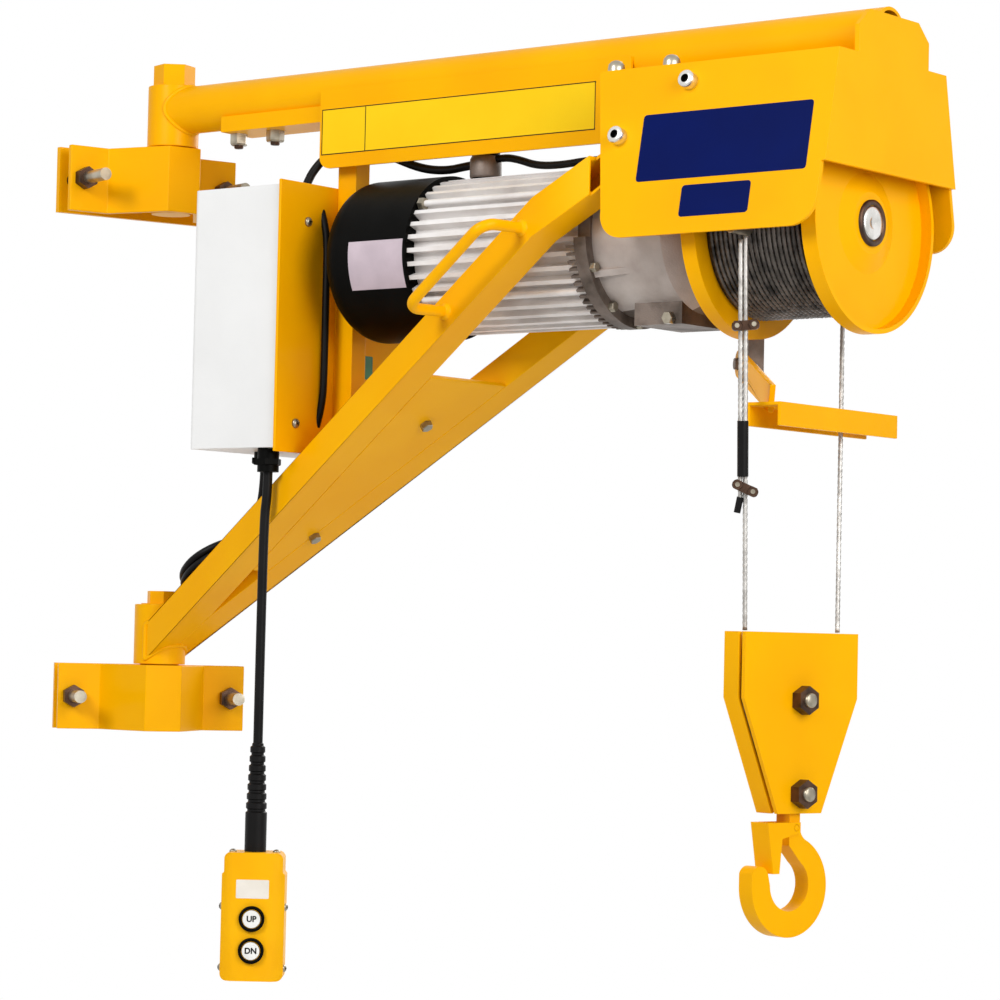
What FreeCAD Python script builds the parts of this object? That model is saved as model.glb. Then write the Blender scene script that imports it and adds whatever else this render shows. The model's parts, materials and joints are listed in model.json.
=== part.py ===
"""Column hoist: a jib on two hinge pins, an electric winch and a two-fall hook block.

Millimetres. The origin is on the lower clamp's back plate, at the middle of the face that grips the
column. +X points out of the column and +Z up. Pieces of the jib are drawn in the arm frame, with X
along the arm from the hinge axis, and are turned to the arm's rest angle by the Jib placement.
"""
import FreeCAD, Part
import Sketcher
import math
import os
import re

Vector = FreeCAD.Vector

SIZES = {
    # column clamps
    "clamp_spacing": 505,
    "clamp_height": 64,
    "clamp_width": 185,
    "clamp_plate": 6,
    "nose_width": 35,
    "nose_depth": 60,
    "flank_run": 34,
    "jaw_gap": 18,
    "bolt_spacing": 156,
    "bolt_dia": 12,
    "bolt_play": 1,
    "bolt_stick_out": 45,
    "nut_across": 19,
    "nut_height": 10,
    "head_height": 8,
    "upper_clamp_turn": 18,
    # hinge pins and sleeves
    "pin_dia": 38,
    "pin_play": 0.4,
    "pin_head_gap": 1,
    "lower_pin_rise": 12,
    "lower_pin_across": 24,
    "upper_pin_rise": 20,
    "upper_pin_across": 35,
    "sleeve_dia": 50,
    "sleeve_gap": 1,
    "lower_sleeve_length": 58,
    "upper_sleeve_length": 60,
    # jib frame
    "rest_swing": 35,
    "tube_dia": 46,
    "tube_wall": 3,
    "tube_lift": 6,
    "strut_width": 36,
    "strut_depth": 34,
    "strut_wall": 3,
    "strut_lap": 12,
    "strut_motor_gap": 8.7,
    "strut_foot": 18.5,
    "strut_drop": 76.5,
    "strut_bite": 28,
    "strut_bend_lead": 44,
    "panel_notch": 6,
    "web_start": 130,
    "web_end": 380,
    "web_thick": 4,
    "web_gap": 0.6,
    "post_depth": 22,
    "post_width": 20,
    "post_fan_gap": 11,
    "label_overlap": 10,
    "label_gap": 10,
    "label_height": 74,
    "label_thick": 3,
    "label_corner": 12,
    "handle_dia": 10,
    "handle_start": 432,
    "handle_span": 96,
    "handle_stand_off": 44,
    "handle_bend": 14,
    # drum hood
    "hood_start": 584,
    "hood_length": 242,
    "hood_lean": 21,
    "hood_half_top": 84,
    "hood_flare": 10.9,
    "hood_height": 148,
    "hood_thick": 4,
    "hood_corner": 24,
    "cover_height": 95,
    "tab_half": 55,
    "tab_top_half": 38,
    "tab_side": 23,
    "tab_rise": 38,
    # winch
    "drum_drop": 157,
    "drum_inset": 15,
    "drum_length": 134,
    "flange_dia": 185,
    "flange_lip": 14,
    "flange_thick": 4,
    "boss_foot_dia": 84,
    "boss_top_dia": 52,
    "boss_rise": 5,
    "drum_core_dia": 120,
    "winding_dia": 155,
    "rope_dia": 5,
    "rope_gap": 1,
    "shaft_dia": 30,
    "shaft_play": 0.5,
    "drum_gap": 7,
    "gear_flange_dia": 158,
    "gear_flange_thick": 13,
    "gear_body_dia": 140,
    "gear_body_length": 85,
    "gear_neck_dia": 92,
    "gear_neck_length": 30,
    "gear_ribs": 6,
    "gear_rib_run": 34,
    "gear_rib_thick": 6,
    "gear_rib_drop": 4,
    "flange_strut_gap": 3,
    "flange_flat_drop": 6,
    "gear_foot_width": 60,
    "gear_foot_length": 50,
    "gear_foot_inset": 30,
    "sump_width": 70,
    "sump_length": 50,
    "sump_drop": 80,
    "lug_width": 30,
    "lug_thick": 14,
    "lug_foot": 14,
    "lug_grip": 33,
    "motor_drop": 6,
    "motor_length": 193,
    "motor_dia": 142,
    "fin_height": 10,
    "fin_thick": 4,
    "fin_count": 36,
    "tie_rod_dia": 6,
    "tie_rod_angle": 39,
    "fan_length": 104,
    "fan_dia": 150,
    "fan_round": 22,
    "vent_count": 12,
    "vent_inner": 22,
    "vent_outer": 44,
    "vent_width": 6,
    "vent_depth": 5,
    "motor_gland_dia": 26,
    "motor_gland_height": 28,
    "motor_gland_inset": 32,
    # control box
    "box_depth": 110,
    "box_width": 170,
    "box_height": 243,
    "box_corner": 6,
    "box_strut_gap": 12,
    "box_plate_thick": 3,
    "box_plate_margin": 4,
    "rail_start": 84,
    "rail_width": 44,
    "rail_thick": 6,
    "gland_dia": 20,
    "gland_height": 22,
    "lead_gland_height": 12,
    "lead_gland_inset": 72,
    "lead_gland_side": 20,
    # pendant station
    "pendant_inset": 22,
    "pendant_side": 70,
    "cord_dia": 9,
    "cord_shift": 4,
    "boot_top": 36,
    "boot_length": 100,
    "boot_rings": 8,
    "boot_ring_pitch": 8.6,
    "boot_top_dia": 13,
    "boot_end_dia": 20,
    "boot_groove": 1.6,
    "pendant_width": 58,
    "pendant_depth": 44,
    "pendant_height": 117,
    "pendant_corner": 6,
    "pendant_shoulder": 18,
    "pendant_step": 2,
    "pendant_strip": 38,
    "pendant_bevel": 8,
    "pendant_turn": -52,
    "button_dia": 16,
    "button_bezel_dia": 23,
    "button_bezel_rise": 3.5,
    "button_rise": 1.5,
    "button_seat": 4,
    "button_play": 0.5,
    "button_travel": 3,
    "up_button_height": 57,
    "down_button_height": 28,
    # power lead
    "lead_dia": 8,
    "coil_spot": 68,
    "coil_side": 24,
    "coil_radius": 33,
    "coil_thick": 24,
    "coil_gap": 0.3,
    # hook block
    "live_offset": 51,
    "dead_offset": 62,
    "dead_side": 86,
    "fall_gap": 1,
    "anchor_drop": 16,
    "anchor_dia": 10,
    "anchor_length": 40,
    "block_offset": 61,
    "block_side_shift": -5,
    "block_turn": 13,
    "sheave_height": 18.6,
    "sheave_dia": 112,
    "sheave_thick": 12,
    "groove_depth": 5,
    "block_top": 75,
    "block_side": 55,
    "block_height": 151,
    "block_half_top": 65,
    "block_half_end": 25,
    "block_plate": 4,
    "block_inside": 19,
    "pan_wall": 3,
    "block_slit": 4,
    "block_bolt_dia": 14,
    "block_nut_across": 21,
    "block_nut_height": 10,
    "hook_pin_height": -59.5,
    # hook and latch
    "hook_thick": 16,
    "hook_bowl_drop": 77.5,
    "hook_bowl_side": -5,
    "hook_outer": 42.5,
    "hook_inner": 22,
    "hook_inner_lift": 1.5,
    "hook_top_angle": 66,
    "hook_inner_angle": 54,
    "hook_neck": 12,
    "hook_neck_fillet": 14,
    "hook_neck_drop": 26.5,
    "hook_throat_drop": 43.5,
    "hook_tip_round": 9.5,
    "hook_tip_width": 18,
    "hook_tip_rise": 11,
    "hook_eye_dia": 32,
    "hook_play": 0.4,
    "latch_pin_dia": 5,
    "latch_pin_drop": 28.5,
    "latch_thick": 2,
    "latch_gap": 0.6,
    "latch_reach": 33,
    "latch_rise": 4.5,
    "latch_drop": 38,
    "latch_tip": 7,
    "latch_slant": 7,
    # limit lever
    "lever_bar_drop": 171,
    "lever_bar_offset": 61,
    "lever_bar_start": -54,
    "lever_bar_end": 130,
    "lever_bar_width": 34,
    "lever_bar_depth": 20,
    "lever_wall": 3,
    "lever_slot_start": 34,
    "lever_slot_end": 90,
    "lever_pivot_lead": 8,
    "lever_pivot_side": 43,
    "lever_pivot_drop": 109,
    "lever_turn": 43,
    "lever_pitch": 17.5,
    "lever_arm_length": 128,
    "lever_arm_width": 24,
    "lever_arm_thick": 5,
    "lever_pin_dia": 10,
    "lever_gap": 1,
}


def sized(formula):
    """Turn a formula of size names into an expression on the sheet."""
    def named(word):
        return "Sizes." + word[0] if word[0] in SIZES else word[0]
    return re.sub(r"[a-z_]+[a-z]", named, formula)


doc = FreeCAD.newDocument("ColumnHoist")
sheet = doc.addObject("Spreadsheet::Sheet", "Sizes")
for row, (alias, value) in enumerate(SIZES.items(), 1):
    sheet.set("A%d" % row, alias)
    sheet.set("B%d" % row, str(value))
    sheet.setAlias("B%d" % row, alias)
doc.recompute()


def number(formula):
    return float(sheet.evalExpression(sized(formula)))


def spot(x="0", y="0", z="0", axis=(0, 0, 1), angle="0"):
    """A placement expression: a point, and a turn about an axis through it."""
    point = f"create(<<vector>>; {x}; {y}; {z})"
    line = "create(<<vector>>; %g; %g; %g)" % axis
    return sized(f"create(<<placement>>; {point}; create(<<rotation>>; {line}; {angle}))")


# Heights and distances that several pieces share.
SLEEVE_Z = "(clamp_height / 2 + sleeve_gap)"
UPPER_SLEEVE_Z = f"(clamp_spacing + {SLEEVE_Z})"
PIVOT_X = "(jaw_gap + nose_depth - pin_dia / 2)"
TUBE_Z = f"({UPPER_SLEEVE_Z} + upper_sleeve_length / 2 + tube_lift)"
HOOD_TOP = f"({TUBE_Z} - tube_dia / 2)"
HOOD_END = "(hood_start + hood_length)"
DRUM_Z = f"({TUBE_Z} - drum_drop)"
DRUM_END = f"({HOOD_END} - drum_inset)"
DRUM_START = f"({DRUM_END} - drum_length)"
GEAR_END = f"({DRUM_START} - drum_gap)"
GEAR_BODY_END = f"({GEAR_END} - gear_neck_length)"
GEAR_START = f"({GEAR_BODY_END} - gear_body_length)"
MOTOR_Z = f"({DRUM_Z} - motor_drop)"
MOTOR_START = f"({GEAR_START} - motor_length)"
FAN_START = f"({MOTOR_START} - fan_length)"
POST_X = f"({FAN_START} - post_fan_gap - post_depth)"
BOX_PLATE_X = f"({POST_X} - box_plate_thick)"

# The struts' lines: a slope that they share, and a splay that takes them past the motor.
STRUT_Z = f"({SLEEVE_Z} + strut_foot)"
STRUT_REACH = "(hood_start + strut_bite)"
STRUT_BEND = "(hood_start - strut_bend_lead)"
STRUT_SLOPE = f"(({HOOD_TOP} - strut_drop - {STRUT_Z}) / {STRUT_REACH})"
STRUT_SPLAY = f"((motor_dia / 2 + strut_motor_gap + strut_lap) * {STRUT_SLOPE} / ({MOTOR_Z} - {STRUT_Z}))"
STRUT_PITCH = f"atan({STRUT_SLOPE})"


def strut_height(x):
    """Height of the struts' middle line."""
    return f"({STRUT_Z} + ({x}) * {STRUT_SLOPE})"


def strut_inner(x):
    """Distance of a strut's inner face from the arm's middle plane, up to the bend."""
    return f"(({x}) * {STRUT_SPLAY} - strut_lap)"


def strut_outer(x):
    return f"({strut_inner(x)} + strut_width)"


STRUT_END_OUTER = "(hood_half_top + strut_drop * tan(hood_flare))"


def primitive(kind, name, at=None, **formulas):
    item = doc.addObject(kind, name)
    for size, formula in formulas.items():
        item.setExpression(size, sized(formula))
    if at:
        item.setExpression("Placement", at)
    return item


def box(name, x, y, z, length, width, height, frame=""):
    """A box from its low corner."""
    at = frame + spot(x, y, z)
    return primitive("Part::Box", name, at, Length=length, Width=width, Height=height)


def rod(name, dia, length, x="0", y="0", z="0", axis=(0, 0, 1), angle="0", frame=""):
    at = frame + spot(x, y, z, axis, angle)
    return primitive("Part::Cylinder", name, at, Radius=f"({dia}) / 2", Height=length)


def hexagon(name, across, height, x, y, z, axis=(0, 1, 0), angle="90"):
    at = spot(x, y, z, axis, angle)
    item = primitive("Part::Prism", name, at, Circumradius=f"{across} / sqrt(3)", Height=height)
    item.Polygon = 6
    return item


def combined(kind, name, at, **links):
    item = doc.addObject(kind, name)
    for link, value in links.items():
        setattr(item, link, value)
    if at:
        item.setExpression("Placement", at)
    return item


def cut(name, base, tool, at=None):
    return combined("Part::Cut", name, at, Base=base, Tool=tool)


def common(name, base, tool, at=None):
    return combined("Part::Common", name, at, Base=base, Tool=tool)


def fuse(name, pieces, at=None):
    return combined("Part::MultiFuse", name, at, Shapes=pieces)


def group(name, pieces, at=None):
    """Like pieces of one body that don't touch, kept in one node."""
    return combined("Part::Compound", name, at, Links=pieces)


def outline(sketch, corners):
    """A closed outline with each corner bound to the sheet.

    A corner is (x, y), or (x, y, radius, side) where the side that leaves it is an arc: side 1 bends
    to the left of its way and -1 to the right.
    """
    points = [Vector(number(corner[0]), number(corner[1]), 0) for corner in corners]
    count = len(points)
    ends = []
    for i, corner in enumerate(corners):
        start = points[i]
        stop = points[(i + 1) % count]
        if len(corner) == 2:
            sketch.addGeometry(Part.LineSegment(start, stop))
            ends.append((1, 2))
            continue
        radius = number(corner[2])
        half = (stop - start) * 0.5
        across = Vector(-half.y, half.x, 0).normalize()
        centre = start + half + across * (corner[3] * math.sqrt(radius ** 2 - half.Length ** 2))
        first, last = (start, stop) if corner[3] > 0 else (stop, start)
        turns = [math.atan2(p.y - centre.y, p.x - centre.x) for p in (first, last)]
        circle = Part.Circle(centre, Vector(0, 0, 1), radius)
        sketch.addGeometry(Part.ArcOfCircle(circle, turns[0], turns[1]))
        ends.append((1, 2) if corner[3] > 0 else (2, 1))
    for i, corner in enumerate(corners):
        following = (i + 1) % count
        sketch.addConstraint(Sketcher.Constraint("Coincident", i, ends[i][1], following, ends[following][0]))
        rules = [("DistanceX", corner[0], points[i].x), ("DistanceY", corner[1], points[i].y)]
        for way, formula, value in rules:
            index = sketch.addConstraint(Sketcher.Constraint(way, -1, 1, i, ends[i][0], value))
            sketch.setExpression("Constraints[%d]" % index, sized(formula))
        if len(corner) > 2:
            index = sketch.addConstraint(Sketcher.Constraint("Radius", i, number(corner[2])))
            sketch.setExpression("Constraints[%d]" % index, sized(corner[2]))
    return sketch


def both_sides(half, axis=0):
    """An outline closed by its own mirror image across one axis."""
    back = []
    for i in range(len(half) - 1, -1, -1):
        place = list(half[i][:2])
        place[axis] = f"-({place[axis]})"
        arc = half[i - 1][2:] if i else ()
        back.append(tuple(place) + tuple(arc))
    return half + back


def origin_feature(body, role):
    return [item for item in body.Origin.OriginFeatures if item.Role == role][0]


def sketch_in(body, plane, corners, name):
    sketch = body.newObject("Sketcher::SketchObject", name)
    sketch.AttachmentSupport = [(origin_feature(body, plane), "")]
    sketch.MapMode = "FlatFace"
    return outline(sketch, corners)


def pad_in(body, plane, corners, length, name, kind="PartDesign::Pad", midplane=False):
    pad = body.newObject(kind, name)
    pad.Profile = sketch_in(body, plane, corners, name + "_outline")
    pad.setExpression("Length", sized(length))
    pad.Midplane = midplane
    return pad


def padded(name, plane, corners, length, at):
    """A plate or bar: an outline padded square to its plane."""
    body = doc.addObject("PartDesign::Body", name)
    pad_in(body, plane, corners, length, name + "_pad")
    body.setExpression("Placement", at)
    return body


def turned(name, corners, at, plane_axis="H_Axis"):
    """A turned piece: a half profile swept about one of its sketch's axes."""
    body = doc.addObject("PartDesign::Body", name)
    sketch = sketch_in(body, "XZ_Plane", corners, name + "_profile")
    sweep = body.newObject("PartDesign::Revolution", name + "_sweep")
    sweep.Profile = sketch
    sweep.ReferenceAxis = (sketch, [plane_axis])
    sweep.Angle = 360
    body.setExpression("Placement", at)
    return body


def ring_of(body, feature, count):
    """Repeat a feature round the body's X axis."""
    pattern = body.newObject("PartDesign::PolarPattern", feature.Name + "_ring")
    pattern.Originals = [feature]
    pattern.Axis = (origin_feature(body, "X_Axis"), [""])
    pattern.Angle = 360
    pattern.setExpression("Occurrences", sized(count))
    body.Tip = pattern
    return pattern


subparts = []


def keep(item, label):
    item.Label = label
    subparts.append(item)
    return item


JIB = "Jib.Placement"
ON_JIB = JIB + " * "
jib_frame = doc.addObject("Part::Vertex", "Jib")
jib_frame.setExpression("Placement", spot(PIVOT_X, angle="rest_swing"))

# Column clamps: a folded hat jaw, a flat back plate and two long bolts at each height. The upper clamp
# has turned a little on its pin.
BEND = "(clamp_plate * tan(atan(nose_depth / flank_run) / 2))"
WING_X = "(jaw_gap + clamp_plate)"
NOSE_X = "(jaw_gap + clamp_plate + nose_depth)"
UPPER_CLAMP = spot(PIVOT_X, angle="upper_clamp_turn") + " * " + spot("-" + PIVOT_X)


def clamp(which, height, at=None):
    base = f"({height}) - clamp_height / 2"
    outer = [(WING_X, "clamp_width / 2"),
             (WING_X, "nose_width / 2 + flank_run"),
             (NOSE_X, "nose_width / 2")]
    inner = [("jaw_gap + nose_depth", f"nose_width / 2 - {BEND}"),
             ("jaw_gap", f"nose_width / 2 + flank_run - {BEND}"),
             ("jaw_gap", "clamp_width / 2")]
    far_side = [(x, f"-({y})") for x, y in reversed(outer)]
    near_side = [(x, f"-({y})") for x, y in reversed(inner)]
    hat = padded(which + "_hat", "XY_Plane", outer + far_side + near_side + inner, "clamp_height",
                 spot(z=base))
    plate = box(which + "_flat", "-clamp_plate", "-clamp_width / 2", base, "clamp_plate", "clamp_width",
                "clamp_height")
    hat_holes = []
    plate_holes = []
    bolts = []
    for side, sign in (("left", "-"), ("right", "")):
        y = sign + "bolt_spacing / 2"
        name = f"{which}_{side}"
        for holes, tag in ((hat_holes, "_hat_hole"), (plate_holes, "_plate_hole")):
            holes.append(rod(name + tag, "bolt_dia + bolt_play", "jaw_gap + 4 * clamp_plate",
                             "-2 * clamp_plate", y, height, (0, 1, 0), "90"))
        shank = rod(name + "_shank", "bolt_dia", "jaw_gap + 2 * clamp_plate + bolt_stick_out",
                    "-clamp_plate", y, height, (0, 1, 0), "90")
        head = hexagon(name + "_head", "nut_across", "head_height", "-clamp_plate - head_height", y, height)
        nut = hexagon(name + "_nut", "nut_across", "nut_height", WING_X, y, height)
        bolts.append(fuse(name + "_bolt", [shank, head, nut]))
    keep(cut(which + "_jaw", hat, fuse(which + "_hat_holes", hat_holes), at), which + "_clamp_jaw")
    keep(cut(which + "_back", plate, fuse(which + "_plate_holes", plate_holes), at),
         which + "_clamp_back_plate")
    keep(group(which + "_bolts", bolts, at), which + "_clamp_bolts")


def hinge_pin(which, height, at=None):
    base = f"({height}) - clamp_height / 2"
    length = f"clamp_height + sleeve_gap + {which}_sleeve_length + pin_head_gap"
    stem = rod(which + "_stem", "pin_dia", length, PIVOT_X, "0", base)
    head = hexagon(which + "_pin_head", f"{which}_pin_across", f"{which}_pin_rise", PIVOT_X, "0",
                   f"{base} + {length}", (0, 0, 1), "0")
    keep(fuse(which + "_pin", [stem, head], at), which + "_hinge_pin")


clamp("lower", "0")
hinge_pin("lower", "0")
clamp("upper", "clamp_spacing", UPPER_CLAMP)
hinge_pin("upper", "clamp_spacing", UPPER_CLAMP)


# Sleeves that turn on the pins.
def sleeve(which, base):
    length = which + "_sleeve_length"
    outside = rod(which + "_sleeve_outside", "sleeve_dia", length, z=base)
    bore = rod(which + "_sleeve_bore", "pin_dia + 2 * pin_play", length, z=base)
    keep(cut(which + "_sleeve_ring", outside, bore, JIB), which + "_sleeve")


sleeve("lower", SLEEVE_Z)
sleeve("upper", UPPER_SLEEVE_Z)

# Round top tube, coped onto the upper sleeve and closed by the hood's end cover.
TUBE_LENGTH = f"({HOOD_END} - hood_thick)"


def tube_rod(name, dia):
    return rod(name, dia, TUBE_LENGTH, "0", "0", TUBE_Z, (0, 1, 0), "90")


tube_cope = rod("tube_cope", "sleeve_dia", "upper_sleeve_length", z=UPPER_SLEEVE_Z)
tube_hollow = fuse("tube_hollow", [tube_rod("tube_inside", "tube_dia - 2 * tube_wall"), tube_cope])
keep(cut("tube", tube_rod("tube_outside", "tube_dia"), tube_hollow, JIB), "top_tube")


# Struts: two rectangular tubes from the lower sleeve. They splay past the motor, then turn in to the
# hood's side panels.
def strut_section(name, x, outer, shrink, sign):
    """One upright section of a strut, in the plane across the arm at x."""
    sketch = doc.addObject("Sketcher::SketchObject", name)
    middle = f"{sign}({outer} - strut_width / 2)"
    sketch.setExpression("Placement", spot(x, middle, strut_height(x), (1, 1, 1), "120"))
    half_width = f"(strut_width / 2 - {shrink})"
    half_depth = f"(strut_depth / 2 - {shrink} / cos({STRUT_PITCH}))"
    half = [(half_width, half_depth), (half_width, "-" + half_depth)]
    return outline(sketch, both_sides(half))


def strut_bar(name, shrink, sign):
    stations = [("0", strut_outer("0")), (STRUT_BEND, strut_outer(STRUT_BEND)),
                (STRUT_REACH, STRUT_END_OUTER)]
    loft = doc.addObject("Part::Loft", name)
    loft.Sections = [strut_section("%s_section_%d" % (name, i), x, outer, shrink, sign)
                     for i, (x, outer) in enumerate(stations)]
    loft.Solid = True
    loft.Ruled = True
    return loft


def panel_outside(name, sign, x):
    """The space outside a hood side panel's inner face, from x on."""
    edge = "(hood_half_top + hood_thick * tan(hood_flare) - hood_thick / cos(hood_flare))"
    shift = "0" if sign == "" else "-hood_height"
    turn = spot(x, sign + edge, HOOD_TOP + " - hood_thick", (1, 0, 0), sign + "hood_flare")
    at = turn + " * " + spot("0", shift, "-1.6 * hood_height")
    return primitive("Part::Box", name, at, Length=HOOD_END, Width="hood_height", Height="2 * hood_height")


for which, sign in (("near", "-"), ("far", "")):
    tube = strut_bar(which + "_strut_outside", "0", sign)
    hollow = strut_bar(which + "_strut_inside", "strut_wall", sign)
    cope = rod(which + "_strut_cope", "sleeve_dia", "clamp_spacing", z="-clamp_height")
    half = box(which + "_strut_half", "-" + STRUT_REACH, "0" if sign == "-" else "-" + STRUT_REACH, "0",
               "2 * " + STRUT_REACH, STRUT_REACH, "clamp_spacing")
    wedge = panel_outside(which + "_strut_wedge", sign, "hood_start + panel_notch")
    tools = fuse(which + "_strut_cuts", [hollow, cope, half, wedge])
    keep(cut(which + "_strut_tube", tube, tools, JIB), which + "_strut")

# Web plate between the struts, in the plane of their undersides.
WEB_Z = f"({STRUT_Z} - strut_depth / 2)"


def web_corner(x, sign):
    return (f"({x}) / cos({STRUT_PITCH})", f"{sign}({strut_inner(x)} - web_gap)")


web = padded("web", "XY_Plane",
             [web_corner("web_start", "-"), web_corner("web_end", "-"), web_corner("web_end", ""),
              web_corner("web_start", "")], "web_thick",
             ON_JIB + spot(z=WEB_Z, axis=(0, 1, 0), angle="-" + STRUT_PITCH))
keep(web, "strut_web_plate")

# Post that stands on the web plate and carries the tube, with the control box on its other side.
POST_END = f"({POST_X} + post_depth)"


def web_top(x):
    return f"({strut_height(x)} - strut_depth / 2 + web_thick / cos({STRUT_PITCH}))"


post_bar = padded("post_bar", "XZ_Plane",
                  [(POST_X, web_top(POST_X)), (POST_END, web_top(POST_END)), (POST_END, TUBE_Z),
                   (POST_X, TUBE_Z)], "post_width", spot(y="post_width / 2"))
keep(cut("post", post_bar, tube_rod("post_cope", "tube_dia"), JIB), "box_post")

# Plate for the instruction label, on the near side of the tube.
LABEL_START = f"({POST_X} - label_overlap)"
LABEL_END = "(hood_start - label_gap)"
LABEL_FOOT = f"({TUBE_Z} - label_height)"
label = padded("label", "XZ_Plane",
               [(LABEL_START, TUBE_Z), (LABEL_END, TUBE_Z), (LABEL_END, LABEL_FOOT),
                (LABEL_START + " + label_corner", LABEL_FOOT, "label_corner", -1),
                (LABEL_START, LABEL_FOOT + " + label_corner")],
               "label_thick", ON_JIB + spot(y="-tube_dia / 2"))
keep(label, "label_panel")


# Lifting handle: a bent rod on the near strut's outer face.
def bent_path(points, radii):
    """Straight runs joined by tangent arcs, one radius for each corner."""
    edges = []
    start = points[0]
    for i in range(1, len(points) - 1):
        before = (points[i - 1] - points[i]).normalize()
        after = (points[i + 1] - points[i]).normalize()
        half = before.getAngle(after) / 2
        bend = radii[i - 1]
        enter = points[i] + before * (bend / math.tan(half))
        leave = points[i] + after * (bend / math.tan(half))
        middle = points[i] + (before + after).normalize() * (bend / math.sin(half) - bend)
        edges.append(Part.LineSegment(start, enter).toShape())
        edges.append(Part.Arc(enter, middle, leave).toShape())
        start = leave
    edges.append(Part.LineSegment(start, points[-1]).toShape())
    return Part.Wire(edges)


def tube_along(path, dia):
    first = path.Edges[0]
    start = first.FirstParameter
    ring = Part.makeCircle(dia / 2, first.valueAt(start), first.tangentAt(start))
    return path.makePipeShell([Part.Wire([ring])], True, False)


splay = math.atan(number(STRUT_SPLAY))
span = number("handle_span")
rise = Vector(span, -span * math.tan(splay), span * number(STRUT_SLOPE))
out = Vector(-math.sin(splay), -math.cos(splay), 0) * number("handle_stand_off")
bend = number("handle_bend")
handle = doc.addObject("Part::Feature", "handle")
handle.Shape = tube_along(bent_path([Vector(), out, out + rise, rise], [bend, bend]), number("handle_dia"))
handle.setExpression("Placement", ON_JIB + spot(
    "handle_start", "-" + strut_outer("handle_start"), strut_height("handle_start")))
keep(handle, "lifting_handle")

# Drum hood: one bent sheet with a flat top, two flared sides and an end cover with a tab.
SKIN = "hood_thick / cos(hood_flare)"
HOOD_FOOT = f"({HOOD_TOP} - hood_height)"
HOOD_HALF_FOOT = "(hood_half_top + hood_height * tan(hood_flare))"
SHEET_END = f"({HOOD_END} - hood_thick)"
outside = [(HOOD_HALF_FOOT, HOOD_FOOT), ("hood_half_top", HOOD_TOP)]
inside = [(f"-({HOOD_HALF_FOOT} - {SKIN})", HOOD_FOOT),
          (f"-(hood_half_top + hood_thick * tan(hood_flare) - {SKIN})", HOOD_TOP + " - hood_thick")]
hood_run = padded("hood_run", "YZ_Plane", both_sides(outside) + both_sides(inside),
                  "hood_length - hood_thick", spot(x="hood_start"))
hood_side = padded("hood_side", "XZ_Plane",
                   [("hood_start", HOOD_TOP), (SHEET_END, HOOD_TOP),
                    (SHEET_END, HOOD_FOOT + " + hood_corner", "hood_corner", -1),
                    (SHEET_END + " - hood_corner", HOOD_FOOT),
                    ("hood_start + hood_lean + hood_corner", HOOD_FOOT, "hood_corner", -1),
                    ("hood_start + hood_lean", HOOD_FOOT + " + hood_corner")],
                   f"3 * {HOOD_HALF_FOOT}", spot(y=f"1.5 * {HOOD_HALF_FOOT}"))
cover_half = [("hood_half_top + cover_height * tan(hood_flare)", HOOD_TOP + " - cover_height"),
              ("hood_half_top", HOOD_TOP), ("tab_half", HOOD_TOP),
              ("tab_half", HOOD_TOP + " + tab_side"), ("tab_top_half", HOOD_TOP + " + tab_rise")]
cover = padded("cover", "YZ_Plane", both_sides(cover_half), "hood_thick", spot(x=SHEET_END))
keep(fuse("hood", [common("hood_sides", hood_run, hood_side), cover], JIB), "drum_hood")

# Motor: a ring of cooling fins on a round frame, held by four tie rods, with a vented fan cover.
FRAME_R = "(motor_dia / 2 - fin_height)"
motor_frame = turned("motor_frame", [(MOTOR_START, "0"), (GEAR_START, "0"), (GEAR_START, FRAME_R),
                                     (MOTOR_START, FRAME_R)], spot(z=MOTOR_Z))
fin = pad_in(motor_frame, "XZ_Plane",
             [(MOTOR_START, FRAME_R + " - fin_height / 4"), (GEAR_START, FRAME_R + " - fin_height / 4"),
              (GEAR_START, "motor_dia / 2"), (MOTOR_START, "motor_dia / 2")],
             "fin_thick", "fin", midplane=True)
ring_of(motor_frame, fin, "fin_count")
tie_rods = []
TIE_TURNS = ("tie_rod_angle", "180 - tie_rod_angle", "180 + tie_rod_angle", "-tie_rod_angle")
for side, turn in enumerate(TIE_TURNS):
    reach = "(motor_dia / 2 - tie_rod_dia / 4)"
    tie_rods.append(rod("tie_rod_%d" % side, "tie_rod_dia", "motor_length", MOTOR_START,
                        f"{reach} * cos({turn})", f"{MOTOR_Z} + {reach} * sin({turn})", (0, 1, 0), "90"))
keep(fuse("motor", [motor_frame] + tie_rods, JIB), "motor_body")

fan = turned("fan", [(FAN_START, "0"), (MOTOR_START, "0"), (MOTOR_START, "fan_dia / 2"),
                     (FAN_START + " + fan_round", "fan_dia / 2", "fan_round", 1),
                     (FAN_START, "fan_dia / 2 - fan_round")], ON_JIB + spot(z=MOTOR_Z))
vent = pad_in(fan, "XZ_Plane",
              [(FAN_START, "vent_inner"), (FAN_START + " + vent_depth", "vent_inner"),
               (FAN_START + " + vent_depth", "vent_outer"), (FAN_START, "vent_outer")],
              "vent_width", "vent", "PartDesign::Pocket", True)
ring_of(fan, vent, "vent_count")
keep(fan, "motor_fan_cover")

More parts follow.
